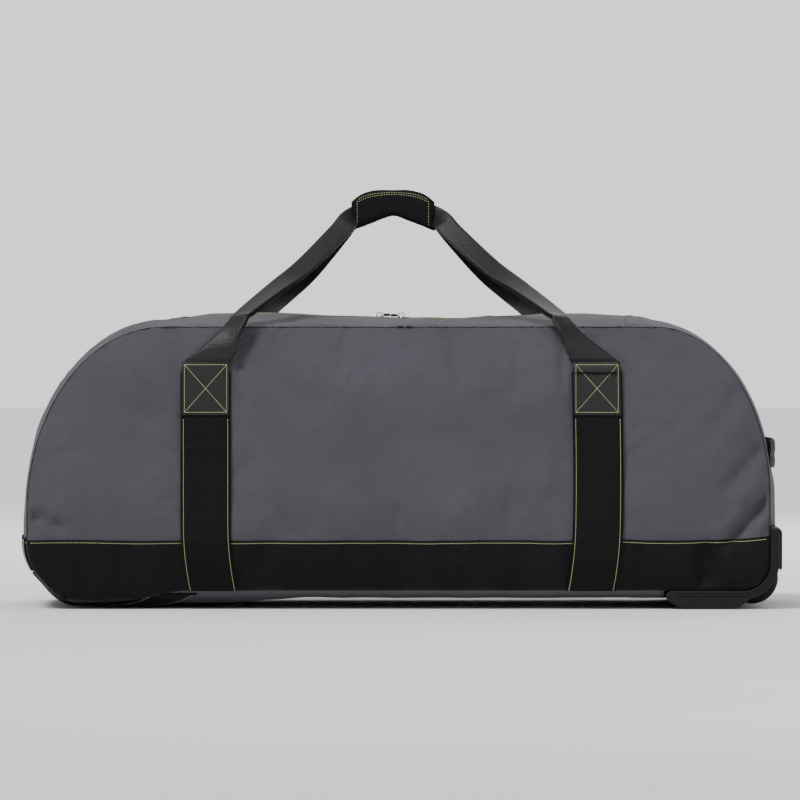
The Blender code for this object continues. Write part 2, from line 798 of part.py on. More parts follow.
def wheel(word, side, tyre_look, hub_look, steel_look):
    centre = (WHEEL_X, side * WHEEL_Y, WHEEL_Z)
    half = WHEEL_WIDTH / 2
    shoulder = 0.004
    tyre = [(HUB_R + 0.0003, -half), (WHEEL_R - shoulder, -half), (WHEEL_R - 0.0012, -half + 0.0028)]
    tyre += [(WHEEL_R, -half + 0.0065), (WHEEL_R, half - 0.0065), (WHEEL_R - 0.0012, half - 0.0028)]
    tyre += [(WHEEL_R - shoulder, half), (HUB_R + 0.0003, half)]
    lathe_y(word + "_tyre", tyre, centre, tyre_look, 32, ring=True)
    seat = BEARING_WIDTH + 0.001
    edge = half - 0.001
    bore = BEARING_R + 0.0003
    hub = [(HUB_R, -edge), (HUB_R, edge), (bore, edge), (bore, edge - seat), (0.006, edge - seat)]
    hub += [(0.006, -edge + seat), (bore, -edge + seat), (bore, -edge)]
    lathe_y(word + "_hub", hub, centre, hub_look, 28, ring=True)
    inner = AXLE_R + 0.0003
    for letter, out in (("outer", 1), ("inner", -1)):
        offset = side * out * (edge - seat + 0.0003 + BEARING_WIDTH / 2)
        thick = BEARING_WIDTH / 2
        race = [(inner, -thick), (BEARING_R, -thick), (BEARING_R, thick), (inner, thick)]
        place = (WHEEL_X, side * WHEEL_Y + offset, WHEEL_Z)
        lathe_y(f"{word}_bearing_{letter}", race, place, steel_look, 20, ring=True)


def axle(word, side, steel_look):
    centre = (WHEEL_X, side * WHEEL_Y, WHEEL_Z)
    end = CAVITY_HALF + WELL_WALL
    head = 0.0065
    profile = [(head, end + 0.0030), (head, end + 0.0004), (AXLE_R, end + 0.0004), (AXLE_R, -end - 0.0035)]
    if side < 0:
        profile = [(r, -y) for r, y in profile]
    lathe_y(word + "_axle", profile, centre, steel_look, 24)
    low, high = end + 0.0005, end + 0.0020
    clip = [(AXLE_R + 0.0003, low), (0.0072, low), (0.0072, high), (AXLE_R + 0.0003, high)]
    clip = [(r, -side * y) for r, y in clip]
    lathe_y(word + "_axle_clip", clip, centre, steel_look, 24, ring=True)


def main():
    clear_scene()
    grey = material("grey_fabric", (0.10, 0.10, 0.12), 0.85)
    black = material("black_fabric", (0.012, 0.012, 0.013), 0.8)
    webbing = material("black_webbing", (0.010, 0.010, 0.010), 0.75)
    tape = material("zip_tape", (0.015, 0.015, 0.015), 0.7)
    nickel = material("nickel", (0.72, 0.72, 0.70), 0.25, 1.0)
    moulded = material("moulded_plastic", (0.022, 0.022, 0.024), 0.55)
    pull = material("pull_rubber", (0.012, 0.012, 0.012), 0.6)
    rubber = material("tyre_rubber", (0.015, 0.015, 0.016), 0.75)
    hub = material("hub_plastic", (0.05, 0.05, 0.055), 0.45)
    steel = material("steel", (0.45, 0.45, 0.46), 0.35, 1.0)
    board = material("board_plastic", (0.02, 0.02, 0.02), 0.6)
    hook = material("hook_tape", (0.012, 0.012, 0.012), 0.9)

    for word, side in (("front", -1), ("rear", 1)):
        panel(word + "_panel", side, BASE_Z + GAP, TOP_Z, 13, grey)
        panel("base_" + word, side, BOTTOM_Z, BASE_Z, 5, black)
        mouth_half(word, side, grey, tape)
        for place, sign in (("left", -1), ("right", 1)):
            band(f"band_{word}_{place}", side, sign, webbing)
            handle_leg(f"leg_{word}_{place}", side, sign, webbing)
        harness("harness_" + word, side, webbing)
        haul_anchor(word, side, webbing)
        grab_anchor(word, side, webbing)
        wheel_housing(word, side, moulded)
        wheel(word, side, rubber, hub, steel)
        axle(word, side, steel)
        for letter, y in zip("ab", SCREW_Y):
            housing_screw(f"{word}_housing_screw_{letter}", side, y, steel)
    end_panel("left_end_panel", -1, BASE_Z + GAP, grey)
    end_panel("right_end_panel", 1, HOUSING_TOP_Z + 2 * GAP, grey)
    base_left(black)
    base_right(black)
    bottom_panel(grey)
    boards(board)
    for word, sign in (("left", -1), ("right", 1)):
        zip_stop(word, sign, tape)
        top = slider(word, nickel)
        pull_tab(word, -sign, top, pull)
    grip(black, webbing, hook)
    haul_handle(webbing)
    grab_handle(webbing)


main()
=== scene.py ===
"""The looks of the wheeled duffel: draped cloth, webbing, stitches, zip, guards and wheels."""

import math

import bmesh
import bpy
import numpy as np
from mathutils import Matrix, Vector, noise
from mathutils.bvhtree import BVHTree


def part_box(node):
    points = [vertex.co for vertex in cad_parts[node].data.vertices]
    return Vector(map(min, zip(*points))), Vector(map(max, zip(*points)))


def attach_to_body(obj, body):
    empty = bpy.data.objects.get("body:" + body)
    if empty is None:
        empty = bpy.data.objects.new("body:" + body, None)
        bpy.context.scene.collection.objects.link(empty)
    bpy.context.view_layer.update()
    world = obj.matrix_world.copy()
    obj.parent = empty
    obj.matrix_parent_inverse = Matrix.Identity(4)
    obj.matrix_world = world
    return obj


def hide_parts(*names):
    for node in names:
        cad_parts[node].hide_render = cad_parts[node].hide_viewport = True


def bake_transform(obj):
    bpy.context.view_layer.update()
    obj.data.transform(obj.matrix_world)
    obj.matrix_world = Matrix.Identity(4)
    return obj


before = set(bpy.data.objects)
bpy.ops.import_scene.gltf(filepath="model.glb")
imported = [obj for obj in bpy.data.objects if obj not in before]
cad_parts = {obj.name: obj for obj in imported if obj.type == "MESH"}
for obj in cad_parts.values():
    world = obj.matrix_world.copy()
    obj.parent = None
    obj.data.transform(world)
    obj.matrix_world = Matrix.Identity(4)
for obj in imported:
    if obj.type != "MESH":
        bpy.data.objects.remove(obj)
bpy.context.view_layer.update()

# The shell's outline, read from the frame.
PANEL_LOW, PANEL_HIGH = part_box("front_panel")
BASE_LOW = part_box("base_front")[0]
FLAP_LOW, FLAP_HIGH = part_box("top_flap_front")
FABRIC = 0.0025
SEAM_Y = -PANEL_HIGH[1] + FABRIC
EDGE_Y = SEAM_Y - 0.0004
LEFT_X, RIGHT_X = PANEL_LOW[0], PANEL_HIGH[0]
TOP_Z, BASE_Z, BOTTOM_Z = PANEL_HIGH[2], PANEL_LOW[2], BASE_LOW[2]
ZIP_LEFT_X, ZIP_RIGHT_X = FLAP_LOW[0], FLAP_HIGH[0]
MOUTH_X = (ZIP_LEFT_X + ZIP_RIGHT_X) / 2
GRIP_LOW, GRIP_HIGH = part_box("grip_wrap")
GRIP_X = (GRIP_LOW[0] + GRIP_HIGH[0]) / 2
HOUSING_LOW, HOUSING_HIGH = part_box("front_wheel_housing")
TYRE_LOW, TYRE_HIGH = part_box("front_tyre")

# Sizes that the CAD has and the frame's boxes don't show.
TOP_LEFT_X, TOP_RIGHT_X = -0.285, 0.305
LEFT_SHOULDER_Z, RIGHT_SHOULDER_Z = 0.115, 0.135
LEFT_CORNER_R, RIGHT_CORNER_R = 0.055, 0.033
BEND = (RIGHT_X - RIGHT_CORNER_R, BOTTOM_Z + RIGHT_CORNER_R)
PANEL_BULGE = 0.028
LEFT_BULGE = 0.007
SAG_LEFT, SAG_MIDDLE = 0.0185, 0.012
HARNESS_X = -0.2735
CLOTH = 0.0014

BAND_X = 0.234
BAND_WIDTH = 0.060
WEB = 0.0018
BOX_LOW_Z, BOX_TOP_Z = 0.233, 0.295
GRIP_HALF = (GRIP_HIGH[0] - GRIP_LOW[0]) / 2
GRIP_Z = GRIP_HIGH[2] - 0.0158

STITCH_PITCH = 0.0029
THREAD_R = 0.00036

CENTRE = Vector((0, 0, 0.18))
UP = Vector((0, 0, 1))


def spaced(start, end, count):
    return [start + (end - start) * i / (count - 1) for i in range(count)]


def clamp(value, low=0.0, high=1.0):
    return max(low, min(high, value))


def ease(low, high, value):
    t = clamp((value - low) / (high - low))
    return t * t * (3 - 2 * t)


def ripple(x, y, z, scale, seed=0.0):
    return noise.noise(Vector((x * scale + seed, y * scale - seed, z * scale + 2 * seed)))


def spline(points, count):
    """Catmull-Rom through the points, with the same steps in each stretch."""
    ends = [2 * points[0] - points[1]] + points + [2 * points[-1] - points[-2]]
    fine = []
    for i in range(len(points) - 1):
        a, b, c, d = ends[i : i + 4]
        for k in range(count):
            t = k / count
            square, cube = 2 * a - 5 * b + 4 * c - d, 3 * b - a - 3 * c + d
            fine.append(0.5 * (2 * b + (c - a) * t + square * t**2 + cube * t**3))
    return fine + [points[-1]]


def smooth_path(points, count):
    """Evenly spread points on a Catmull-Rom curve through the given ones."""
    return resample(spline([Vector(p) for p in points], 24), count)


def resample(points, count):
    lengths = [0.0]
    for a, b in zip(points, points[1:]):
        lengths.append(lengths[-1] + (b - a).length)
    made, k = [], 0
    for target in spaced(0, lengths[-1], count):
        while k < len(points) - 2 and lengths[k + 1] < target:
            k += 1
        share = (target - lengths[k]) / max(lengths[k + 1] - lengths[k], 1e-9)
        made.append(points[k].lerp(points[k + 1], clamp(share)))
    return made


def fold_lines(x, y, z, scale, seed):
    """Narrow ridges, as cloth makes where it is gathered."""
    line = max(1 - 4.5 * abs(ripple(x, y, z, scale, seed)), 0) ** 2
    return line * ease(-0.05, 0.35, ripple(x, y, z, scale * 0.45, seed + 40))


# Materials


def principled(name, colour, roughness, metallic=0.0):
    made = bpy.data.materials.new(name)
    made.use_nodes = True
    shader = made.node_tree.nodes["Principled BSDF"]
    shader.inputs["Base Color"].default_value = (*colour, 1)
    shader.inputs["Roughness"].default_value = roughness
    shader.inputs["Metallic"].default_value = metallic
    return made, made.node_tree, shader


def add_node(tree, kind, **values):
    made = tree.nodes.new(kind)
    for key, value in values.items():
        if key in made.inputs:
            made.inputs[key].default_value = value
        else:
            setattr(made, key, value)
    return made


def maths(tree, operation, first, second):
    made = tree.nodes.new("ShaderNodeMath")
    made.operation = operation
    for i, value in enumerate((first, second)):
        if hasattr(value, "links"):
            tree.links.new(value, made.inputs[i])
        else:
            made.inputs[i].default_value = value
    return made.outputs[0]


def object_place(tree):
    return add_node(tree, "ShaderNodeTexCoord").outputs["Object"]


def noise_height(tree, place, scale, detail=3.0, roughness=0.6):
    made = add_node(tree, "ShaderNodeTexNoise", Scale=scale, Detail=detail, Roughness=roughness)
    tree.links.new(place, made.inputs["Vector"])
    return made.outputs[0]


def yarn(tree, place, scale):
    """Threads: noise that is fine across them and long along them."""
    mapped = add_node(tree, "ShaderNodeMapping")
    mapped.inputs["Scale"].default_value = scale
    tree.links.new(place, mapped.inputs["Vector"])
    return noise_height(tree, mapped.outputs[0], 1.0, 1.0, 0.5)


def bump(tree, shader, height, strength, distance):
    made = add_node(tree, "ShaderNodeBump", Strength=strength, Distance=distance)
    tree.links.new(height, made.inputs["Height"])
    tree.links.new(made.outputs[0], shader.inputs["Normal"])


def shaded(tree, shader, factor, dark, light, low=0.3, high=0.7):
    ramp = add_node(tree, "ShaderNodeValToRGB")
    ramp.color_ramp.elements[0].position = low
    ramp.color_ramp.elements[1].position = high
    ramp.color_ramp.elements[0].color = (*dark, 1)
    ramp.color_ramp.elements[1].color = (*light, 1)
    tree.links.new(factor, ramp.inputs[0])
    tree.links.new(ramp.outputs[0], shader.inputs["Base Color"])


def scaled(colour, factor):
    return tuple(c * factor for c in colour)


SIDE_YARNS = ((110, 60, 1), (1, 60, 110))
WRAP_YARNS = ((1, 60, 1), (110, 1, 110))


def cloth_look(name, colour, roughness, pitch, spread, sheen, yarns=SIDE_YARNS, gloss=0.10):
    """Woven cloth: two runs of threads, fine speckle and slow colour drift."""
    made, tree, shader = principled(name, colour, roughness)
    place = object_place(tree)
    threads = []
    for run in yarns:
        fine = [0.7 / pitch if scale == 1 else float(scale) for scale in run]
        threads.append(yarn(tree, place, fine))
    weave = maths(tree, "ADD", threads[0], threads[1])
    speck = noise_height(tree, place, 0.5 / pitch, 2.0)
    drift = noise_height(tree, place, 7.0, 4.0)
    cloudy = maths(tree, "ADD", maths(tree, "MULTIPLY", speck, 0.25), maths(tree, "MULTIPLY", drift, 0.45))
    tone = maths(tree, "ADD", maths(tree, "MULTIPLY", weave, 0.15), cloudy)
    shaded(tree, shader, tone, scaled(colour, 1 - spread), scaled(colour, 1 + spread), 0.38, 0.62)
    bump(tree, shader, maths(tree, "ADD", weave, speck), 0.6, pitch * 0.3)
    shader.inputs["Sheen Weight"].default_value = sheen
    shader.inputs["Sheen Roughness"].default_value = 0.45
    shader.inputs["Specular IOR Level"].default_value = gloss
    return made


def plastic_look(name, colour, roughness, grain, gloss=0.5):
    made, tree, shader = principled(name, colour, roughness)
    shader.inputs["Specular IOR Level"].default_value = gloss
    place = object_place(tree)
    fine = noise_height(tree, place, grain, 4.0, 0.7)
    slow = noise_height(tree, place, 18.0, 3.0)
    shaded(tree, shader, slow, scaled(colour, 0.85), scaled(colour, 1.2))
    rough = add_node(tree, "ShaderNodeMapRange")
    rough.inputs["To Min"].default_value = roughness - 0.08
    rough.inputs["To Max"].default_value = roughness + 0.12
    tree.links.new(slow, rough.inputs[0])
    tree.links.new(rough.outputs[0], shader.inputs["Roughness"])
    bump(tree, shader, fine, 0.35, 0.0002)
    return made


def metal_look(name, colour, roughness):
    made, tree, shader = principled(name, colour, roughness, 1.0)
    place = object_place(tree)
    scuff = noise_height(tree, place, 420.0, 5.0, 0.65)
    shaded(tree, shader, scuff, scaled(colour, 0.82), colour, 0.3, 0.6)
    rough = add_node(tree, "ShaderNodeMapRange")
    rough.inputs["To Min"].default_value = roughness * 0.7
    rough.inputs["To Max"].default_value = roughness * 1.6
    tree.links.new(scuff, rough.inputs[0])
    tree.links.new(rough.outputs[0], shader.inputs["Roughness"])
    bump(tree, shader, scuff, 0.08, 0.0001)
    return made


GREY_COLOUR = (0.069, 0.0665, 0.0805)
GREY = cloth_look("grey_polyester", GREY_COLOUR, 0.80, 0.0011, 0.12, 0.10)
GREY_WRAP = cloth_look("grey_polyester_gusset", GREY_COLOUR, 0.80, 0.0011, 0.12, 0.10, WRAP_YARNS)
LINING = cloth_look("grey_lining", (0.050, 0.050, 0.055), 0.65, 0.0012, 0.12, 0.05)
# Dark grey for the tube laid along the panel seams: painted shade of the seam's groove.
SEAM_SHADE = cloth_look("painted_seam_shade", (0.024, 0.024, 0.029), 0.8, 0.0008, 0.12, 0.0)
BLACK_COLOUR = (0.0068, 0.0064, 0.0076)
BLACK = cloth_look("black_polyester", BLACK_COLOUR, 0.70, 0.0012, 0.28, 0.04)
BLACK_WRAP = cloth_look("black_polyester_end", BLACK_COLOUR, 0.70, 0.0012, 0.28, 0.04, WRAP_YARNS)
WEBBING = cloth_look("black_webbing", (0.0046, 0.0046, 0.0047), 0.60, 0.0015, 0.25, 0.02, gloss=0.12)
HANDLE_WEB = cloth_look("handle_webbing", (0.0085, 0.0082, 0.0090), 0.50, 0.0012, 0.20, 0.06, gloss=0.35)
TAPE = cloth_look("zip_tape", (0.008, 0.008, 0.009), 0.7, 0.0008, 0.2, 0.03)
THREAD = cloth_look("lime_thread", (0.50, 0.51, 0.25), 0.55, 0.0005, 0.15, 0.1)
COIL = plastic_look("zip_coil", (0.013, 0.013, 0.014), 0.38, 900.0)
PULL = plastic_look("pull_rubber", (0.010, 0.010, 0.010), 0.5, 900.0)
MOULDED = plastic_look("guard_plastic", (0.0060, 0.0060, 0.0066), 0.55, 1100.0, 0.25)
RUBBER = plastic_look("tyre_rubber", (0.0070, 0.0070, 0.0075), 0.65, 800.0, 0.2)
HUB = plastic_look("hub_plastic", (0.045, 0.045, 0.050), 0.42, 700.0)
BOARD = plastic_look("board_plastic", (0.018, 0.018, 0.019), 0.55, 500.0)
NICKEL = metal_look("bright_nickel", (0.78, 0.77, 0.74), 0.20)
STEEL = metal_look("plated_steel", (0.50, 0.50, 0.50), 0.32)


# Meshes


def mesh_object(name, points, faces, look):
    mesh = bpy.data.meshes.new(name)
    mesh.from_pydata([tuple(p) for p in points], [], faces)
    mesh.validate()
    mesh.shade_smooth()
    mesh.materials.append(look)
    made = bpy.data.objects.new(name, mesh)
    bpy.context.scene.collection.objects.link(made)
    return made


def grid_faces(count_rows, count_columns, flip=False):
    faces = []
    for i in range(count_rows - 1):
        for j in range(count_columns - 1):
            a = i * count_columns + j
            quad = (a, a + 1, a + count_columns + 1, a + count_columns)
            faces.append(quad[::-1] if flip else quad)
    return faces


def ring_faces(rings, count):
    """Sides and both ends of a closed form made of rings of points."""
    faces = []
    for r in range(rings - 1):
        for i in range(count):
            a, b = r * count + i, r * count + (i + 1) % count
            faces.append((a, b, b + count, a + count))
    return faces + [tuple(range(count))[::-1], tuple(range((rings - 1) * count, rings * count))]


def grid_object(name, rows, look, thickness, lining=None, away_from=CENTRE, probe=None):
    """A sheet through rows of points on its outer face, thickened on the other side."""
    rows = [list(row) for row in rows]
    i, j = probe or (len(rows) // 2, len(rows[0]) // 2)
    across = rows[i][j] - rows[i][j - 1]
    along = rows[i][j] - rows[i - 1][j]
    flip = across.cross(along).dot(rows[i][j] - away_from) < 0
    faces = grid_faces(len(rows), len(rows[0]), flip)
    made = mesh_object(name, [p for row in rows for p in row], faces, look)
    if lining:
        made.data.materials.append(lining)
    thicken(made, thickness, 1 if lining else 0)
    return made


def thicken(piece, thickness, inner_slot=0):
    step = piece.modifiers.new("Thickness", "SOLIDIFY")
    step.thickness = thickness
    step.offset = -1
    step.material_offset = inner_slot
    step.use_rim = True


def two_ended(name, ends, look):
    """A closed piece between two outlines with as many points each."""
    made = bmesh.new()
    first, last = [[made.verts.new(p) for p in end] for end in ends]
    made.faces.new(first)
    made.faces.new(last)
    for i in range(len(first)):
        j = (i + 1) % len(first)
        made.faces.new((first[i], first[j], last[j], last[i]))
    bmesh.ops.recalc_face_normals(made, faces=made.faces)
    mesh = bpy.data.meshes.new(name)
    made.to_mesh(mesh)
    made.free()
    mesh.materials.append(look)
    piece = bpy.data.objects.new(name, mesh)
    bpy.context.scene.collection.objects.link(piece)
    return piece


def prism_object(name, outline, low_y, high_y, bevel=0.0):
    """A moulded prism along Y."""
    piece = two_ended(name, [[(x, y, z) for x, z in outline] for y in (low_y, high_y)], MOULDED)
    piece.data.shade_smooth()
    piece.data.set_sharp_from_angle(angle=math.radians(40))
    if bevel:
        step = piece.modifiers.new("Rounded edges", "BEVEL")
        step.width = bevel
        step.segments = 3
        step.limit_method = "ANGLE"
        step.angle_limit = math.radians(40)
    return piece


def lathe_object(name, profile, centre, look, segments=72, ripples=None):
    """A closed (radius, y) profile turned about the Y axis; ripples varies the radius round it."""
    points, faces, count = [], [], len(profile)
    for k in range(segments):
        a = 2 * math.pi * k / segments
        for r, y in profile:
            radius = r + (ripples(a, r, y) if ripples else 0)
            turned = Vector((radius * math.cos(a), y, radius * math.sin(a)))
            points.append(Vector(centre) + turned)
    for k in range(segments):
        base, after = k * count, ((k + 1) % segments) * count
        for i in range(count):
            j = (i + 1) % count
            faces.append((base + i, base + j, after + j, after + i))
    made = mesh_object(name, points, faces, look)
    outward(made)
    made.data.set_sharp_from_angle(angle=math.radians(40))
    return made


def outward(piece):
    made = bmesh.new()
    made.from_mesh(piece.data)
    bmesh.ops.recalc_face_normals(made, faces=made.faces)
    made.to_mesh(piece.data)
    made.free()


def apply_modifiers(piece):
    graph = bpy.context.evaluated_depsgraph_get()
    done = bpy.data.meshes.new_from_object(piece.evaluated_get(graph))
    piece.modifiers.clear()
    piece.data = done


def capsule():
    """A short thread, round in section, that dips at both ends."""
    points, sides = [], 6
    for along, radius, drop in ((-1, 0.45, -0.9), (-0.6, 1, 0), (0.6, 1, 0), (1, 0.45, -0.9)):
        for k in range(sides):
            a = 2 * math.pi * k / sides
            points.append((along, radius * math.cos(a), radius * math.sin(a) + drop))
    return points, ring_faces(4, sides)


def scatter(name, places, half, look):
    """One capsule at each (point, direction, normal), half = its half sizes."""
    template, template_faces = capsule()
    points, faces = [], []
    for place, along, up in places:
        along = along.normalized()
        side = up.cross(along).normalized()
        lift = along.cross(side)
        start = len(points)
        for a, b, c in template:
            points.append(place + along * (a * half[0]) + side * (b * half[1]) + lift * (c * half[2]))
        faces += [tuple(start + i for i in face) for face in template_faces]
    return mesh_object(name, points, faces, look)


def stitches(path, normal, pitch=STITCH_PITCH):
    """Places for a row of stitches along a path; normal is a vector or a function of the point."""
    length = sum((b - a).length for a, b in zip(path, path[1:]))
    count = max(int(length / pitch), 2)
    points = resample(path, 2 * count + 1)
    places = []
    for k in range(count):
        a, mid, b = points[2 * k], points[2 * k + 1], points[2 * k + 2]
        places.append((mid, b - a, normal(mid) if callable(normal) else normal))
    return places


def stitch_object(name, places, body, blend=None):
    made = scatter(name, places, (STITCH_PITCH * 0.36, THREAD_R, THREAD_R), THREAD)
    attach(made, body, blend)
    return made


def settle(piece, replaced, body="shell", blend=None):
    """Stands for a CAD node and moves with a body; where blend is given it only has its transform baked and
    is tied to no body.
    """
    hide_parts(replaced)
    attach(piece, body, blend)


def attach(piece, body, blend=None):
    """Rides on a body. Where blend is given, the piece only has its transform baked into its mesh and is
    tied to no body; the other body, start and end in blend are not used.
    """
    if blend:
        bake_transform(piece)
    else:
        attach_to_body(piece, body)


# Shell outline, as in the frame


def left_x(z):
    if z > LEFT_SHOULDER_Z:
        rise = min((z - LEFT_SHOULDER_Z) / (TOP_Z - LEFT_SHOULDER_Z), 1)
        return TOP_LEFT_X + (LEFT_X - TOP_LEFT_X) * math.sqrt(1 - rise * rise)
    drop = max(BOTTOM_Z + LEFT_CORNER_R - z, 0)
    return LEFT_X + LEFT_CORNER_R - math.sqrt(LEFT_CORNER_R**2 - min(drop, LEFT_CORNER_R) ** 2)


def right_x(z):
    if z > RIGHT_SHOULDER_Z:
        rise = min((z - RIGHT_SHOULDER_Z) / (TOP_Z - RIGHT_SHOULDER_Z), 1)
        return TOP_RIGHT_X + (RIGHT_X - TOP_RIGHT_X) * math.sqrt(1 - rise * rise)
    drop = max(BOTTOM_Z + RIGHT_CORNER_R - z, 0)
    return RIGHT_X - RIGHT_CORNER_R + math.sqrt(RIGHT_CORNER_R**2 - min(drop, RIGHT_CORNER_R) ** 2)


def panel_depth(x, z):
    low, high = left_x(z), right_x(z)
    u = (2 * x - low - high) / (high - low)
    v = (2 * z - TOP_Z - BOTTOM_Z) / (TOP_Z - BOTTOM_Z)
    return SEAM_Y + PANEL_BULGE * (1 - min(u * u, 1) ** 2) * (1 - min(v * v, 1) ** 2)


def crest_z(x):
    """The zip line: highest either side of the middle, falling to both ends."""
    knots = ((-0.290, 0.343), (-0.266, 0.3475), (-0.218, 0.352), (-0.165, 0.3535), (-0.073, 0.3495))
    knots += ((0.047, 0.3455), (0.119, 0.349), (0.215, 0.352), (0.287, 0.349), (0.311, 0.344))
    for (x0, z0), (x1, z1) in zip(knots, knots[1:]):
        if x <= x1:
            return z0 + (z1 - z0) * ease(x0, x1, x) if x > x0 else z0
    return knots[-1][1]


def bottom_sag(x):
    return SAG_LEFT + (SAG_MIDDLE - SAG_LEFT) * ease(-0.24, -0.10, x)


def bottom_z(x, y):
    return BOTTOM_Z - bottom_sag(x) * (1 - (y / SEAM_Y) ** 6)


# Creases laid on the cloth after it is draped: start, end, depth and half width.
CREASES = (
    ((0.458, 0.153), (0.392, 0.080), 0.0130, 0.0075),
    ((0.446, 0.208), (0.388, 0.142), 0.0070, 0.0095),
    ((0.450, 0.180), (0.402, 0.122), -0.0035, 0.0090),
    ((0.452, 0.128), (0.425, 0.088), -0.0060, 0.0085),
    ((0.420, 0.266), (0.360, 0.206), 0.0030, 0.0120),
    ((0.262, 0.150), (0.254, 0.078), 0.0026, 0.0080),
    ((-0.448, 0.114), (-0.396, 0.096), 0.0070, 0.0065),
    ((-0.444, 0.172), (-0.380, 0.194), 0.0030, 0.0100),
    ((-0.200, 0.300), (-0.100, 0.246), 0.0026, 0.0120),
    ((-0.196, 0.262), (-0.130, 0.180), 0.0020, 0.0140),
    ((0.200, 0.298), (0.110, 0.250), 0.0026, 0.0120),
    ((-0.188, 0.334), (-0.080, 0.300), 0.0026, 0.0080),
    ((0.050, 0.336), (0.160, 0.304), 0.0024, 0.0090),
    ((0.286, 0.076), (0.283, 0.026), 0.0060, 0.0065),
    ((0.366, 0.080), (0.362, 0.024), 0.0070, 0.0080),
    ((0.396, 0.078), (0.392, 0.028), -0.0050, 0.0090),
    ((-0.330, 0.078), (-0.345, 0.030), 0.0028, 0.0070),
    ((-0.170, 0.076), (-0.166, 0.030), 0.0024, 0.0070),
    ((0.050, 0.078), (0.060, 0.030), 0.0022, 0.0090),
)


def crease_depth(x, z):
    total = 0.0
    for (x0, z0), (x1, z1), depth, half in CREASES:
        dx, dz = x1 - x0, z1 - z0
        length = math.hypot(dx, dz)
        along = ((x - x0) * dx + (z - z0) * dz) / length
        off = ((x - x0) * dz - (z - z0) * dx) / length
        fade = ease(-0.01, 0.012, along) * ease(length + 0.02, length - 0.02, along)
        total += depth * fade * math.exp(-((off / half) ** 2))
    return total


def panel_relief(x, z, seed):
    """How far the cloth stands out from its plain bulge before it is draped."""
    edge = min(x - left_x(z), right_x(z) - x, (TOP_Z - z) * 1.2, (z - BOTTOM_Z) * 1.2)
    slow = 0.0060 * ripple(x, 0, z, 7.5, seed) + 0.0030 * ripple(x, 0, z, 15.0, seed + 3)
    return ease(0.0, 0.035, edge) * slow


def panel_wrinkles(x, z, seed):
    """The creases and gathers laid on the draped cloth."""
    end = min(x - left_x(z), right_x(z) - x)
    below_top = TOP_Z - z
    inside = ease(0.0, 0.010, min(end, below_top, z - BOTTOM_Z))
    pucker = 0.0022 * math.exp(-below_top / 0.022) * ripple(x * 1.3, 0, z * 0.3, 42.0, seed)
    pucker += 0.0020 * math.exp(-end / 0.024) * ripple(x * 0.3, 0, z, 46.0, seed + 5)
    gathers = math.exp(-min(below_top, end) / 0.050) + 0.25
    gathers = 0.0036 * gathers * fold_lines(x + 0.4 * z, 0, z - 0.3 * x, 13.0, seed)
    base = ease(BASE_Z + 0.008, BASE_Z - 0.008, z)
    folds = 0.0036 * base * ripple(x - 0.25 * z, 0, z * 0.22, 26.0, seed + 9)
    medium = 0.0016 * ripple(x, 0, z, 27.0, seed + 12)
    return inside * (gathers + folds + medium - crease_depth(x, z) + pucker)


def drape(piece, held, frames, pressure, grow, most):
    """Lets the cloth swell and wrinkle between the points that hold it, then keeps the shape."""
    group = piece.vertex_groups.new(name="held")
    for index, weight in held.items():
        group.add([index], weight, "REPLACE")
    before = np.array([v.co for v in piece.data.vertices])
    step = piece.modifiers.new("Cloth", "CLOTH")
    cloth = step.settings
    cloth.quality = 5
    cloth.mass = 0.15
    cloth.tension_stiffness = 18
    cloth.compression_stiffness = 14
    cloth.shear_stiffness = 8
    cloth.bending_stiffness = 0.35
    cloth.air_damping = 4
    cloth.vertex_group_mass = "held"
    cloth.shrink_min = -grow
    cloth.use_pressure = True
    cloth.uniform_pressure_force = pressure
    cloth.effector_weights.gravity = 0
    step.point_cache.frame_start = 1
    step.point_cache.frame_end = frames
    scene = bpy.context.scene
    for number in range(1, frames + 1):
        scene.frame_set(number)
    apply_modifiers(piece)
    scene.frame_set(1)
    after = np.array([v.co for v in piece.data.vertices])
    moved = after - before
    size = np.linalg.norm(moved, axis=1, keepdims=True)
    moved *= np.minimum(1.0, most / np.maximum(size, 1e-9))
    return [Vector(p) for p in before + moved]


BASE_ROWS = 13
PANEL_COLUMNS = 221


def wrinkled(rows, side, seed):
    return [[p + Vector((0, side * panel_wrinkles(p.x, p.z, seed), 0)) for p in row] for row in rows]


def draped_panel(side, seed):
    """Rows of points for one whole side, draped between the seams, the base line and the bands."""
    heights = spaced(BOTTOM_Z, BASE_Z, BASE_ROWS)
    heights += [BASE_Z + (TOP_Z - BASE_Z) * math.sin(a) for a in spaced(0, math.pi / 2, 61)[1:]]
    rows = []
    for z in heights:
        line = spaced(left_x(z), right_x(z), PANEL_COLUMNS)
        rows.append(
            [Vector((x, side * (panel_depth(x, z) + panel_relief(x, z, seed)), z)) for x in line]
        )
    points = [p for row in rows for p in row]
    flip = side > 0
    piece = mesh_object("draping", points, grid_faces(len(rows), PANEL_COLUMNS, flip), GREY)
    held = {}
    for i, row in enumerate(rows):
        for j, p in enumerate(row):
            weight = 0.0
            if i in (0, len(rows) - 1) or j in (0, PANEL_COLUMNS - 1):
                weight = 1.0
            elif i == BASE_ROWS - 1:
                weight = 0.5
            elif abs(abs(p.x) - BAND_X) < BAND_WIDTH / 2 and p.z < BOX_TOP_Z:
                weight = 0.9
            if weight:
                held[i * PANEL_COLUMNS + j] = weight
    points = drape(piece, held, 22, 1.5, 0.012, 0.006)
    bpy.data.objects.remove(piece, do_unlink=True)
    rows = [points[i * PANEL_COLUMNS : (i + 1) * PANEL_COLUMNS] for i in range(len(rows))]
    return wrinkled(rows, side, seed)


def shifted(rows, amount, side):
    return [[p + Vector((0, side * amount, 0)) for p in row] for row in rows]


def base_line(x):
    """How the top edge of the base rises and dips along the side."""
    dip = 0.0045 * ((x - 0.33) / 0.11) ** 2 if x > 0.22 else 0.0
    return min(dip, 0.0050) + 0.0008 * ripple(x, 0, 0, 14.0, 2.0)


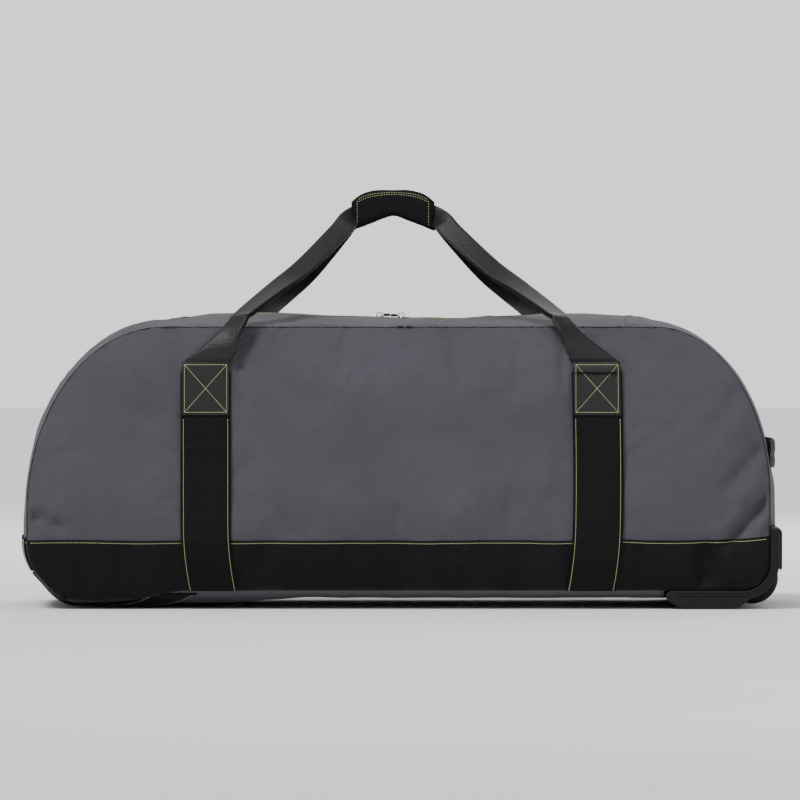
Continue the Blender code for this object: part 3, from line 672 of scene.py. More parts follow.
def base_droop(x, z):
    """How far the lower edge of the base hangs below its seam, left of the left band."""
    reach = ease(LEFT_X + 0.004, LEFT_X + 0.052, x) * ease(-0.255, -0.330, x)
    return 0.0115 * reach * ease(BOTTOM_Z + 0.042, BOTTOM_Z, z)


SURFACES = {}


def side_panels(word, side, seed):
    rows = draped_panel(side, seed)
    faces = grid_faces(len(rows), PANEL_COLUMNS)
    points = [p for row in shifted(rows, 0.0010, side) for p in row]
    SURFACES[side] = BVHTree.FromPolygons(points, faces)
    grey = grid_object(word + "_panel_cloth", rows[BASE_ROWS - 3 :], GREY, CLOTH, LINING)
    settle(grey, word + "_panel")
    base_rows = shifted(rows[:BASE_ROWS], 0.0011, side)
    for i, row in enumerate(base_rows):
        for p in row:
            p.z += base_line(p.x) * (i / (BASE_ROWS - 1)) ** 2 - base_droop(p.x, p.z)
    base = grid_object("base_" + word + "_cloth", base_rows, BLACK, 0.0016, BLACK)
    settle(base, "base_" + word)
    line = []
    for low, high in zip(base_rows[-2][1:-1], base_rows[-1][1:-1]):
        line.append(high.lerp(low, 0.0034 / (high - low).length) + Vector((0, side * 0.0005, 0)))
    stitch_object("base_stitches_" + word, stitches(line, Vector((0, side, 0))), "shell")


def surface_y(side, x, z):
    """Outer face of the draped side at x, z."""
    hit = SURFACES[side].ray_cast(Vector((x, side * 0.5, z)), Vector((0, -side, 0)))[0]
    return abs(hit.y) if hit else panel_depth(x, z) + 0.001


# Gussets

GUSSET_SEED = 7.0


def gusset_point(place, y, seed):
    """place = (x, z, out_x, out_z, lift, power); the sheet bows out between the two side seams."""
    x, z, out_x, out_z, lift, power = place
    across = abs(y) / SEAM_Y
    rise = lift * (1 - min(across, 1) ** power)
    inside = ease(0.0, 0.18, 1 - across) * (0.30 + 0.70 * ease(0.10, 0.50, across))
    rise += inside * 0.0046 * ripple(x, y, z, 9.0, seed)
    rise += inside * 0.0016 * ripple(x, y, z, 25.0, seed + 7)
    rise += inside * 0.0026 * fold_lines(x - 0.3 * y, y + 0.3 * x, z, 12.0, seed + 9)
    rise += 0.0020 * math.exp(-(1 - across) / 0.10) * ripple(x, y * 0.2, z, 44.0, seed + 2)
    rise -= 0.0012 * math.exp(-(1 - across) / 0.015)
    return Vector((x + out_x * rise, y, z + out_z * rise))


def gusset(name, path, y_values, look, seed, replaced):
    rows = [[gusset_point(place, y, seed) for y in y_values] for place in path]
    settle(grid_object(name, rows, look, CLOTH, LINING), replaced)


def end_path(sign, low):
    shoulder = LEFT_SHOULDER_Z if sign < 0 else RIGHT_SHOULDER_Z
    corner_x = TOP_LEFT_X if sign < 0 else TOP_RIGHT_X
    side_x = LEFT_X if sign < 0 else RIGHT_X
    zip_x = ZIP_LEFT_X if sign < 0 else ZIP_RIGHT_X
    made = []
    for z in spaced(low, shoulder, 7)[:-1]:
        made.append((side_x, z, sign, 0, end_lift(sign, z), 2))
    for angle in spaced(0, math.pi / 2, 44):
        x = corner_x + (side_x - corner_x) * math.cos(angle)
        z = shoulder + (TOP_Z - shoulder) * math.sin(angle)
        lift = end_lift(sign, z) + (crest_z(x) - TOP_Z - end_lift(sign, z)) * ease(1.35, math.pi / 2, angle)
        made.append((x, z, sign * math.cos(angle), math.sin(angle), lift, 2))
    for x in spaced(corner_x, zip_x, 8)[1:]:
        made.append((x, TOP_Z, 0, 1, crest_z(x) - TOP_Z, 2))
    return made


def end_lift(sign, z):
    if sign < 0:
        return LEFT_BULGE
    return 0.0042 + 0.0050 * ease(0.185, 0.140, z)


def both_sides(count):
    return [EDGE_Y * math.sin(a) for a in spaced(-math.pi / 2, math.pi / 2, count)]


def corner_rise(down, y):
    flat = 1 - (y / SEAM_Y) ** 6
    round_end = LEFT_BULGE * (1 - (y / SEAM_Y) ** 2)
    half = math.sin(math.radians(45.5))
    turned = max((down - half) / (1 - half), 0) ** 2
    return round_end + (SAG_LEFT * flat - round_end) * turned


def under_surface(s, y):
    """A point on the gusset s metres from the harness's seam along the bottom, and the way out."""
    flat_length = HARNESS_X - LEFT_X - LEFT_CORNER_R
    if s <= flat_length:
        x = HARNESS_X - s
        return Vector((x, y, bottom_z(x, y))), Vector((0, 0, -1))
    angle = max(math.pi / 2 - (s - flat_length) / LEFT_CORNER_R, 0)
    out = Vector((-math.cos(angle), 0, -math.sin(angle)))
    past = s - flat_length - LEFT_CORNER_R * math.pi / 2
    centre = Vector((LEFT_X + LEFT_CORNER_R, y, BOTTOM_Z + LEFT_CORNER_R + max(past, 0)))
    return centre + out * (LEFT_CORNER_R + corner_rise(math.sin(angle), y)), out


def lower_left():
    """Black end of the base and the grey bottom, laid along the same line."""
    flat_length = HARNESS_X - LEFT_X - LEFT_CORNER_R
    black_end_s = flat_length + LEFT_CORNER_R * math.pi / 24
    base_s = flat_length + LEFT_CORNER_R * math.pi / 2 + BASE_Z - BOTTOM_Z - LEFT_CORNER_R
    y_values = both_sides(45)
    rows = []
    for s in spaced(black_end_s, base_s, 16):
        rows.append([])
        for y in y_values:
            place, out = under_surface(s, y)
            rows[-1].append(place + out * (0.0008 + 0.0014 * ripple(place.x, y, place.z, 26.0, 4.0)))
    base = grid_object("base_left_cloth", rows, BLACK_WRAP, CLOTH, LINING)
    settle(base, "base_left")
    line = [p + Vector((-0.0002, 0, -0.0034)) for p in rows[-1][1:-1]]
    stitch_object("base_stitches_left", stitches(line, Vector((-1, 0, 0))), "shell")
    rows = []
    for s in spaced(HARNESS_X - HOUSING_LOW[0] + 0.0012, black_end_s, 96):
        rows.append([])
        for y in both_sides(61):
            place, out = under_surface(s, y)
            inside = ease(0.0, 0.10, 1 - abs(y) / SEAM_Y)
            wave = 0.0020 * ripple(place.x, y, 0, 13.0, 8.0)
            rows[-1].append(place - out * inside * abs(wave))
    bottom = grid_object("bottom_cloth", rows, GREY_WRAP, CLOTH, LINING)
    settle(bottom, "bottom_panel")


def base_right():
    low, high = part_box("base_right")
    y_values = spaced(low[1], high[1], 31)
    path = [(x, BOTTOM_Z, 0, -1, SAG_MIDDLE, 2) for x in spaced(low[0], BEND[0], 16)[:-1]]
    for angle in spaced(90, 0, 20):
        a = math.radians(angle)
        lift = SAG_MIDDLE * math.sin(a) + 0.003 * math.cos(a)
        x, z = BEND[0] + RIGHT_CORNER_R * math.cos(a), BEND[1] - RIGHT_CORNER_R * math.sin(a)
        path.append((x, z, math.cos(a), -math.sin(a), lift, 2))
    path += [(RIGHT_X, z, 1, 0, 0.003, 2) for z in spaced(BEND[1], high[2], 9)[1:]]
    gusset("base_right_cloth", path, y_values, BLACK_WRAP, 6.0, "base_right")


def end_panels():
    for word, sign, low in (("left", -1, BASE_Z - 0.001), ("right", 1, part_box("right_end_panel")[0][2])):
        path, replaced = end_path(sign, low), word + "_end_panel"
        gusset(word + "_end_cloth", path, both_sides(57), GREY_WRAP, GUSSET_SEED, replaced)


def seam_shade_lines(word, side):
    """A thin dark tube along the seam between a side panel and the gusset: painted shade of the seam's
    groove, not a real cord.
    """
    line = [(LEFT_X, z) for z in spaced(BASE_Z, LEFT_SHOULDER_Z, 5)[:-1]]
    rises = [math.sin(a) for a in spaced(0, 1.56, 40)]
    for rise in rises:
        z = LEFT_SHOULDER_Z + (TOP_Z - LEFT_SHOULDER_Z) * rise
        line.append((left_x(z), z))
    line += [(x, TOP_Z) for x in spaced(TOP_LEFT_X, TOP_RIGHT_X, 120)]
    for rise in rises[::-1]:
        z = RIGHT_SHOULDER_Z + (TOP_Z - RIGHT_SHOULDER_Z) * rise
        line.append((right_x(z), z))
    line += [(RIGHT_X, z) for z in spaced(RIGHT_SHOULDER_Z, HOUSING_HIGH[2] + 0.001, 6)[1:]]
    path = [Vector((x, side * (SEAM_Y + 0.0004 * ripple(x, 0, z, 60.0)), z)) for x, z in line]
    # The dark tube along the seam line paints the groove's shadow.
    shade_tube = tube_object("painted_seam_shade_" + word, path, 0.0007, 0.0006, SEAM_SHADE, 8)
    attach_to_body(shade_tube, "shell")


# Mouth and zip

MOUTH_HALVES = (
    ("left", ZIP_LEFT_X, (ZIP_LEFT_X + 0.004, 0, 0), (ZIP_LEFT_X + 0.185, 0, 0)),
    ("right", ZIP_RIGHT_X, (ZIP_RIGHT_X - 0.004, 0, 0), (ZIP_RIGHT_X - 0.185, 0, 0)),
)
TAPE_Y = 0.0125
# The tape's section: distance from the middle and height.
TAPE_PROFILE = ((TAPE_Y + 0.003, -0.0006), (TAPE_Y, 0.0001), (0.008, 0.0002))
TAPE_PROFILE += ((0.0028, 0.0002), (0.0024, -0.0006))


def top_place(x):
    return (x, TOP_Z, 0, 1, crest_z(x) - TOP_Z, 2)


def mouth_side(word, side):
    """One flap, split at its middle into two halves."""
    body = "mouth_" + word
    for half, end_x, start, end in MOUTH_HALVES:
        blend = (body, start, end)
        x_values = spaced(end_x, MOUTH_X, 52)
        y_values = [side * (TAPE_Y + (EDGE_Y - TAPE_Y) * math.sin(a)) for a in spaced(0, math.pi / 2, 24)]
        rows = [[gusset_point(top_place(x), y, GUSSET_SEED) for y in y_values] for x in x_values]
        flap = grid_object(f"top_flap_{word}_{half}", rows, GREY_WRAP, CLOTH, LINING)
        flap.modifiers["Thickness"].use_rim = False
        settle(flap, "top_flap_" + word, "shell", blend)
        rows = []
        for x in x_values:
            rows.append([gusset_point(top_place(x), side * y, GUSSET_SEED) for y, _ in TAPE_PROFILE])
            for p, (_, dz) in zip(rows[-1], TAPE_PROFILE):
                p.z += dz - 0.0008
        tape = grid_object(f"zip_tape_{word}_{half}", rows, TAPE, 0.0009)
        settle(tape, "zip_half_" + word, "shell", blend)
        teeth = []
        count = int(abs(MOUTH_X - end_x) / 0.0016)
        for k in range(count):
            x = end_x + (MOUTH_X - end_x) * (k + (0.25 if side < 0 else 0.75)) / count
            place = gusset_point(top_place(x), side * 0.0017, GUSSET_SEED) + Vector((0, 0, -0.0001))
            teeth.append((place, Vector((0, 1, 0)), UP))
        coil = scatter(f"zip_coil_{word}_{half}", teeth, (0.0018, 0.00062, 0.0009), COIL)
        settle(coil, "zip_half_" + word, "shell", blend)
        for row, y in ((1, TAPE_Y + 0.0024), (2, 0.0062)):
            line = [gusset_point(top_place(x), side * y, GUSSET_SEED) for x in x_values]
            lift = 0.0002 if row == 1 else -0.0004
            line = [p + Vector((0, 0, lift)) for p in line]
            stitch_object(f"zip_stitches_{word}_{half}_{row}", stitches(line, UP), "shell", blend)


def zip_stops():
    for word in ("left", "right"):
        low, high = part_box("zip_stop_" + word)
        middle = (low[0] + high[0]) / 2
        half_x, half_y = (high[0] - low[0]) / 2 + 0.001, (high[1] - low[1]) / 2
        rows = []
        for x in spaced(middle - half_x, middle + half_x, 9):
            rows.append([])
            for y in spaced(-half_y, half_y, 15):
                puff = 0.0008 * (1 - ((x - middle) / half_x) ** 4) * (1 - (y / half_y) ** 4)
                rows[-1].append(Vector((x, y, crest_z(x) + puff + 0.0004 - 0.010 * (y / SEAM_Y) ** 2)))
        stop = grid_object("zip_end_tab_" + word, rows, TAPE, 0.0012)
        settle(stop, "zip_stop_" + word)
        for y in (-0.009, 0.009):
            line = [Vector((x, y, crest_z(x) + 0.0012)) for x in spaced(middle - 0.004, middle + 0.004, 4)]
            name = f"zip_tab_stitches_{word}_{'a' if y < 0 else 'b'}"
            stitch_object(name, stitches(line, UP), "shell")


def sliders():
    for word, sign in (("left", 1), ("right", -1)):
        low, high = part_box("slider_" + word)
        x, z = (low[0] + high[0]) / 2, low[2]
        outline = []
        for a in spaced(0, 2 * math.pi, 25)[:-1]:
            taper = 1 - 0.16 * math.cos(a) * sign
            waist = 1 - 0.12 * math.cos(2 * a)
            outline.append((0.0053 * math.cos(a) * waist, 0.0043 * math.sin(a) * taper))
        rings = ((0.0, 0.86), (0.0004, 1.0), (0.0015, 1.0), (0.0021, 0.84), (0.0022, 0.55))
        points = [(x + dx * s, dy * s, z + dz) for dz, s in rings for dx, dy in outline]
        faces = ring_faces(len(rings), len(outline))
        body = mesh_object("slider_body_" + word, points, faces, NICKEL)
        outward(body)
        settle(body, "slider_" + word, "slider_" + word)
        arch = []
        for a in spaced(0, math.pi, 17):
            arch.append(Vector((x + 0.0037 * math.cos(a), 0, z + 0.0017 + 0.0050 * math.sin(a) ** 0.6)))
        crown = tube_object("slider_crown_" + word, arch, 0.0013, 0.00065, NICKEL)
        settle(crown, "slider_" + word, "slider_" + word)
        pull_tab(word, sign)


def tube_object(name, path, half_wide, half_thick, look, sides=12, wide=Vector((0, 1, 0))):
    """An oval section swept along a path, its wide direction kept along Y unless given."""
    points = []
    for i, p in enumerate(path):
        ahead = (path[min(i + 1, len(path) - 1)] - path[max(i - 1, 0)]).normalized()
        side = (wide - ahead * wide.dot(ahead)).normalized()
        up = ahead.cross(side)
        for k in range(sides):
            a = 2 * math.pi * k / sides
            points.append(p + side * (half_wide * math.cos(a)) + up * (half_thick * math.sin(a)))
    made = mesh_object(name, points, ring_faces(len(path), sides), look)
    outward(made)
    return made


def pull_tab(word, sign):
    """A wire bail through the crown and a ribbed moulded grip on it."""
    low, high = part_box("pull_tab_" + word)
    z = (low[2] + high[2]) / 2
    start_x = (low[0] if sign > 0 else high[0]) + sign * 0.0006
    bail = []
    for dx, y in ((0.006, 0.0014), (0.003, 0.0027), (0.0008, 0.0027), (0, 0.0018), (0, 0), (0, -0.0018)):
        bail.append((start_x + sign * dx, y, z))
    bail += [(start_x + sign * 0.0008, -0.0027, z), (start_x + sign * 0.003, -0.0027, z)]
    bail += [(start_x + sign * 0.006, -0.0014, z)]
    route = smooth_path(bail, 40)
    wire = tube_object("pull_bail_" + word, route, 0.0005, 0.0005, NICKEL, 8, UP)
    settle(wire, "pull_tab_" + word, "pull_" + word)
    path = [Vector((start_x + sign * d, 0, z)) for d in spaced(0.0048, 0.0130, 24)]
    grip = tube_object("pull_grip_" + word, path, 0.0034, 0.0017, PULL, 20)
    for v in grip.data.vertices:
        t = (v.co.x - start_x) * sign
        swell = 0.82 + 0.18 * math.sin(math.pi * clamp((t - 0.0048) / 0.0082)) ** 0.5
        swell += 0.07 * math.sin(t * 2 * math.pi / 0.0016)
        v.co.y *= swell
        v.co.z = z + (v.co.z - z) * swell
    settle(grip, "pull_tab_" + word, "pull_" + word)


# Webbing


def band_x(sign, z):
    drift = max(1 - (z - BOTTOM_Z) / 0.08, 0) ** 2
    bow = math.sin(math.pi * clamp((z - BOTTOM_Z) / 0.27))
    return sign * BAND_X + (0.008 * drift if sign < 0 else 0.0025 * bow - 0.006 * drift)


def web_bands(word, side):
    for place, sign in (("left", -1), ("right", 1)):
        heights = spaced(BOTTOM_Z - 0.0005, BOX_TOP_Z - 0.010, 520)
        columns = spaced(-BAND_WIDTH / 2, BAND_WIDTH / 2, 11)
        depth = {}
        for i in range(0, len(heights), 13):
            x, z = band_x(sign, heights[i]), max(heights[i], BOTTOM_Z + 0.001)
            depth[i] = max(surface_y(side, x + dx, z) for dx in columns)
        known = sorted(depth)
        rows = []
        for i, z in enumerate(heights):
            before = known[min(i // 13, len(known) - 1)]
            after = known[min(i // 13 + 1, len(known) - 1)]
            share = (i - before) / 13 if after > before else 0
            out = depth[before] + (depth[after] - depth[before]) * share
            rib = 0.00038 * math.sin(2 * math.pi * z / 0.0021)
            rows.append([])
            for dx in columns:
                x = band_x(sign, z) + dx
                edge = ease(BAND_WIDTH / 2, BAND_WIDTH / 2 - 0.0022, abs(dx))
                at_edge = abs(dx) > BAND_WIDTH / 2 - 0.001
                near = surface_y(side, x, max(z, BOTTOM_Z + 0.001)) if at_edge else out
                level = out * 0.6 + near * 0.4 if near < out else near
                level += 0.0006 + WEB * (0.55 + 0.45 * edge) + rib * edge
                rows[-1].append(Vector((x, side * level, z)))
        name = f"band_{word}_{place}"
        web = grid_object(name + "_web", rows, WEBBING, WEB)
        settle(web, name)
        for letter, column in (("a", 0), ("b", -1)):
            inset = 0.0034 if column == 0 else -0.0034
            line = []
            for row in rows[::8]:
                if row[0].z < BOX_LOW_Z - 0.004:
                    mid = row[1] if column == 0 else row[-2]
                    line.append(Vector((row[column].x + inset, mid.y + side * 0.0003, row[0].z)))
            stitch_object(f"{name}_stitches_{letter}", stitches(line, Vector((0, side, 0))), "shell")


# Along the handle: share of the reach, y, z, lean, where the fold is across the web, half width.
FRONT_LEG = (
    (None, None, 0.2960, 0, -1.00, 0.0283),
    (1.036, None, 0.3110, 6, -0.62, 0.0283),
    (0.948, 0.1835, 0.3290, 24, -0.06, 0.0283),
    (0.885, 0.1730, 0.3445, 50, 0.0, 0.0280),
    (0.836, 0.1570, 0.3570, 57, 0.0, 0.0275),
    (0.661, 0.1050, 0.3911, 46, 0.0, 0.0270),
    (0.520, 0.0720, 0.4170, 34, 0.0, 0.0265),
    (0.341, 0.0330, 0.4580, 20, 0.0, 0.0258),
    (0.286, 0.0210, 0.4730, 10, 0.0, 0.0252),
    (0.232, 0.0100, 0.4815, 0, 0.0, 0.0240),
    (0.180, 0.0085, 0.4860, 0, 0.0, 0.0235),
)
REAR_LEG = (
    (None, None, 0.2960, 0, -1.00, 0.0283),
    (1.030, None, 0.3110, 6, -0.62, 0.0283),
    (0.920, 0.1835, 0.3290, 24, -0.06, 0.0283),
    (0.820, 0.1730, 0.3430, 46, 0.0, 0.0280),
    (0.745, 0.1570, 0.3550, 50, 0.0, 0.0275),
    (0.600, 0.1080, 0.3860, 40, 0.0, 0.0270),
    (0.490, 0.0760, 0.4120, 30, 0.0, 0.0265),
    (0.341, 0.0370, 0.4540, 18, 0.0, 0.0258),
    (0.286, 0.0240, 0.4700, 10, 0.0, 0.0252),
    (0.232, 0.0110, 0.4790, 0, 0.0, 0.0240),
    (0.180, 0.0090, 0.4840, 0, 0.0, 0.0235),
)
LEG_HALF = 0.0283


def folded_row(crest, flap, back, half, fold_at, columns=23):
    """The web's section: what lies beyond the fold is turned flat behind the flap."""
    steps = columns - 1
    size = 2 * half / steps
    points = [Vector((0, 0, 0))]
    for k in range(steps):
        t = -1 + (2 * k + 1) / steps
        turn = math.radians(176) * (1 - ease(fold_at - 0.17, fold_at + 0.15, t))
        points.append(points[-1] + (flap * math.cos(turn) - back * math.sin(turn)) * size)
    at = (clamp(fold_at, -1, 0) + 1) / 2 * steps
    near = points[int(at)].lerp(points[int(at) + 1], at - int(at))
    return [crest + p - near for p in points]


def handle_leg(word, side, place, sign):
    """The handle web: sewn flat on the band, then folded in half and led up to the grip."""
    stations = FRONT_LEG if side < 0 else REAR_LEG
    reach = abs(sign * BAND_X - GRIP_X)
    start = surface_y(side, sign * BAND_X, BOX_TOP_Z) + 0.0028
    crest, shape = [], []
    for share, y, z, lean, fold_at, half in stations:
        x = sign * (BAND_X + LEG_HALF) if share is None else GRIP_X + sign * share * reach
        crest.append(Vector((x, side * (start if y is None else y), z)))
        shape.append(Vector((lean, fold_at, half)))
    # Places and shapes run through the same smooth curve, so that both change together.
    path = spline(crest, 10)
    shapes = spline(shape, 10)
    rows = []
    for z in spaced(BOX_LOW_Z, BOX_TOP_Z - 0.001, 16):
        x = band_x(sign, z)
        out = max(surface_y(side, x + dx, z) for dx in (-0.02, 0, 0.02)) + 0.0006 + WEB + WEB
        rows.append([Vector((x + t * LEG_HALF, side * out, z)) for t in spaced(-1, 1, 23)])
    if sign > 0:
        rows = [row[::-1] for row in rows]
    for i, p in enumerate(path):
        ahead = (path[min(i + 1, len(path) - 1)] - path[max(i - 1, 0)]).normalized()
        ahead = Vector((0, 0, 1)).lerp(ahead, ease(4, 34, i)).normalized()
        front = Vector((ahead.z * -sign, 0, -ahead.x * -sign)).normalized()
        forward = ahead.cross(front)
        if forward.y * side < 0:
            forward = -forward
        lean, fold_at, half = shapes[i]
        lean = math.radians(lean)
        flap = front * math.cos(lean) + forward * math.sin(lean)
        back = front * math.sin(lean) - forward * math.cos(lean)
        row = folded_row(p, flap, back, half, clamp(fold_at, -1.3, 0.0) - 0.2 * ease(-0.8, -1.0, fold_at))
        rows.append([q + forward * 0.0008 * ripple(q.x, q.y, q.z, 30.0, 3.0 + sign) for q in row])
    name = f"leg_{word}_{place}"
    web = grid_object(name + "_web", rows, HANDLE_WEB, WEB, probe=(8, 11))
    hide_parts(name)
    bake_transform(web)
    box_stitches(word, side, place, rows)


def box_stitches(word, side, place, rows):
    """The square and cross that sew the handle to the band."""
    low_z, high_z = rows[0][0].z, rows[15][0].z
    edges = sorted((rows[8][0].x, rows[8][-1].x))
    left, right = edges[0] + 0.0030, edges[1] - 0.0030
    bottom, top = low_z + 0.0035, high_z - 0.0005

    def run(x0, z0, x1, z1):
        line = []
        for t in spaced(0, 1, 12):
            z = z0 + (z1 - z0) * t
            k = clamp((z - low_z) / (high_z - low_z)) * 15
            i = min(int(k), 14)
            near = abs(rows[i][11].y) + (abs(rows[i + 1][11].y) - abs(rows[i][11].y)) * (k - i)
            line.append(Vector((x0 + (x1 - x0) * t, side * (near + 0.0002), z)))
        return stitches(line, Vector((0, side, 0)))

    places = run(left, bottom, right, bottom) + run(left, top, right, top)
    places += run(left, bottom, left, top) + run(right, bottom, right, top)
    places += run(left, bottom, right, top) + run(left, top, right, bottom)
    stitch_object(f"box_stitches_{word}_{place}", places, "shell")


def grip_span(x):
    """Middle height and half height of the grip: a flat-topped arch over a shallow inverted V."""
    t = min(abs(x - GRIP_X) / GRIP_HALF, 1)
    top = GRIP_HIGH[2] - 0.0005 - 0.0150 * t**3.6
    bottom = GRIP_LOW[2] - 0.0025 + 0.0197 * (1 - t) - 0.0012 * math.exp(-((t / 0.08) ** 2))
    return (top + bottom) / 2, (top - bottom) / 2


def grip():
    """The padded wrap round both handle webs, and its flap at the front."""
    deep = -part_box("grip_flap")[0][1]
    front = 0.0088
    profile = [(-front, 0.97), (0.004, 1.0), (deep - 0.004, 0.94), (deep, 0.62), (deep + 0.0004, 0)]
    profile = [Vector((0, y, z)) for y, z in profile]
    lower = [Vector((0, p.y, -p.z)) for p in reversed(profile[:-1])]
    section = spline(profile + lower, 5)
    rows = []
    for t in spaced(-1, 1, 61):
        x = GRIP_X + t * GRIP_HALF
        middle, tall = grip_span(x)
        rows.append([])
        for p in section:
            wob = 1 + 0.03 * ripple(x, p.y, p.z * tall, 90.0, 2.0)
            rows[-1].append(Vector((x, p.y * (wob if p.y > 0 else 1), middle + p.z * tall * wob)))
    inside = Vector((GRIP_X, 0, GRIP_Z - 0.002))
    wrap = grid_object("grip_wrap_pad", rows, BLACK, 0.0030, away_from=inside)
    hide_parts("grip_wrap")
    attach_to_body(wrap, "grip")
    flap_front, flap_back = -deep, -front - 0.0016
    columns, ups = spaced(-1, 1, 57), spaced(-1, 1, 25)
    points = []
    for layer in (0, 1):
        for t in columns:
            x = GRIP_X + t * (GRIP_HALF - 0.0002)
            middle, tall = grip_span(x)
            for v in ups:
                crown = (1 - abs(t) ** 10) * (1 - abs(v) ** 6)
                face = flap_back + (flap_front - flap_back) * (0.35 + 0.65 * crown)
                face += 0.0005 * ripple(x, 0, v * tall, 70.0, 6.0) * crown
                points.append(Vector((x, face if layer == 0 else flap_back, middle + v * tall * 0.99)))
    count = len(columns) * len(ups)
    faces = grid_faces(len(columns), len(ups))
    faces += [tuple(i + count for i in face[::-1]) for face in grid_faces(len(columns), len(ups))]
    wide, high = len(ups), len(columns)
    rim = list(range(wide)) + [i * wide + wide - 1 for i in range(1, high)]
    rim += list(range((high - 1) * wide + wide - 2, (high - 1) * wide - 1, -1))
    rim += [i * wide for i in range(high - 2, 0, -1)]
    for a, b in zip(rim, rim[1:] + rim[:1]):
        faces.append((a, b, b + count, a + count))
    flap = mesh_object("grip_flap_pad", points, faces, BLACK)
    outward(flap)
    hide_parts("grip_flap")
    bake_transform(flap)

    def on_flap(t, v):
        column, up = (t + 1) / 2 * (high - 1), (v + 1) / 2 * (wide - 1)
        i, j = min(int(column), high - 2), min(int(up), wide - 2)
        a = points[i * wide + j].lerp(points[(i + 1) * wide + j], column - i)
        b = points[i * wide + j + 1].lerp(points[(i + 1) * wide + j + 1], column - i)
        return a.lerp(b, up - j) + Vector((0, -0.0001, 0))

    places = []
    for t in (-0.86, 0.86):
        places += stitches([on_flap(t, v) for v in spaced(-0.84, 0.80, 12)], Vector((0, -1, 0)))
    for v in (0.80, 0.66):
        places += stitches([on_flap(t, v) for t in spaced(-0.84, 0.84, 40)], Vector((0, -1, 0)))
    thread = (STITCH_PITCH * 0.36, THREAD_R * 0.8, THREAD_R)
    made = scatter("grip_flap_stitches", places, thread, THREAD)
    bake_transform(made)
    grip_core()


def grip_core():
    """The two folded handle webs inside the wrap and the hook strip that holds the flap."""
    for word, side in (("front", -1), ("rear", 1)):
        rows = []
        for t in spaced(-1, 1, 41):
            x = GRIP_X + t * (GRIP_HALF + 0.003)
            middle = grip_span(x)[0]
            rows.append([])
            for a in spaced(-1.45, 1.45, 17):
                z = 0.0112 * math.sin(a) / math.sin(1.45)
                rows[-1].append(Vector((x, side * (0.0022 + 0.0038 * math.cos(a)), middle + z)))
        inside = Vector((GRIP_X, 0, GRIP_Z))
        web = grid_object(f"grip_web_{word}_fold", rows, HANDLE_WEB, 0.0017, away_from=inside)
        settle(web, "grip_web_" + word, "grip")
    rows = []
    for t in spaced(-0.82, 0.82, 31):
        x = GRIP_X + t * GRIP_HALF
        rows.append([Vector((x, -0.0100, grip_span(x)[0] + z)) for z in spaced(-0.0105, 0.0105, 9)])
    strip = grid_object("grip_hook_tape", rows, TAPE, 0.0015)
    settle(strip, "grip_hook_strip", "grip")


def harness(word, side):
    """Half of the V under the bag, from the bottom seam round the corner to the haul strap."""
    seam_y, half, near_y, far_y, top_s = SEAM_Y - 0.0035, 0.0285, 0.006, 0.048, 0.1725
    ends = []
    for u in spaced(0, 1, 60):
        near = (-half + u * (seam_y - near_y), seam_y + u * (near_y - seam_y))
        far = (half + u * (seam_y - far_y), seam_y + u * (far_y - seam_y))
        ends.append((near, far))
    near_s, far_s = ends[-1][0][0], ends[-1][1][0]
    for u in spaced(0.05, 1, 20):
        ends.append(((near_s + u * (top_s - near_s), near_y), (far_s + u * (top_s - far_s), far_y)))
    rows = []
    for near, far in ends:
        rows.append([])
        for t in spaced(0, 1, 13):
            s, y = near[0] + t * (far[0] - near[0]), near[1] + t * (far[1] - near[1])
            place, out = under_surface(s, side * y)
            thick = 0.0022 + 0.0010 * ease(0, 0.08, min(t, 1 - t))
            rows[-1].append(place + out * thick)
    name = "harness_" + word
    web = grid_object(name + "_web", rows, WEBBING, WEB)
    settle(web, name)
    for letter, column in (("a", 1), ("b", -2)):
        line = [row[column] for row in rows]
        stitch_object(f"{name}_stitches_{letter}", stitches(line, under_normal), "shell")


def under_normal(p):
    return Vector((-0.3 if p.x < LEFT_X + LEFT_CORNER_R else 0, 0, -1))


def haul_strap():
    """The strap across the left end: two sewn ends and a free middle that can be pulled out."""
    low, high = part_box("haul_handle")
    z_low, z_high = low[2], high[2]
    out_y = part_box("haul_anchor_front")[0][1]

    def strap_rows(y_values):
        rows = []
        for y in y_values:
            rows.append([])
            for z in spaced(z_low, z_high, 13):
                drop = max(BOTTOM_Z + LEFT_CORNER_R - z, 0)
                turned = math.pi / 2 - math.asin(drop / LEFT_CORNER_R)
                s = HARNESS_X - LEFT_X - LEFT_CORNER_R + LEFT_CORNER_R * turned
                s += max(z - BOTTOM_Z - LEFT_CORNER_R, 0)
                place, _ = under_surface(s, y)
                rows[-1].append(place + Vector((-0.0026 - 0.0012 * math.cos(y / out_y * 1.4), 0, 0)))
        return rows

    split = abs(low[1])
    for word, side in (("front", -1), ("rear", 1)):
        rows = strap_rows([side * y for y in spaced(split - 0.004, -out_y, 12)])
        anchor = grid_object("haul_end_" + word, rows, WEBBING, WEB)
        settle(anchor, "haul_anchor_" + word)
        places = []
        for z_index in (1, 11):
            places += stitches([row[z_index] for row in rows], Vector((-1, 0, 0)))
        for k in (1, -2):
            places += stitches(rows[k][1:12], Vector((-1, 0, 0)))
        places += stitches([rows[1 + i][1 + i] for i in range(10)], Vector((-1, 0, 0)))
        places += stitches([rows[1 + i][11 - i] for i in range(10)], Vector((-1, 0, 0)))
        stitch_object("haul_end_stitches_" + word, places, "shell")
        blend = ("haul", (0, side * split, 0), (0, side * 0.030, 0))
        rows = strap_rows([side * y for y in spaced(0, split, 40)])
        strap = grid_object("haul_strap_" + word, rows, WEBBING, WEB)
        settle(strap, "haul_handle", "shell", blend)
        for letter, k in (("a", 1), ("b", -2)):
            places = stitches([row[k] for row in rows], Vector((-1, 0, 0)))
            stitch_object(f"haul_strap_stitches_{word}_{letter}", places, "shell", blend)


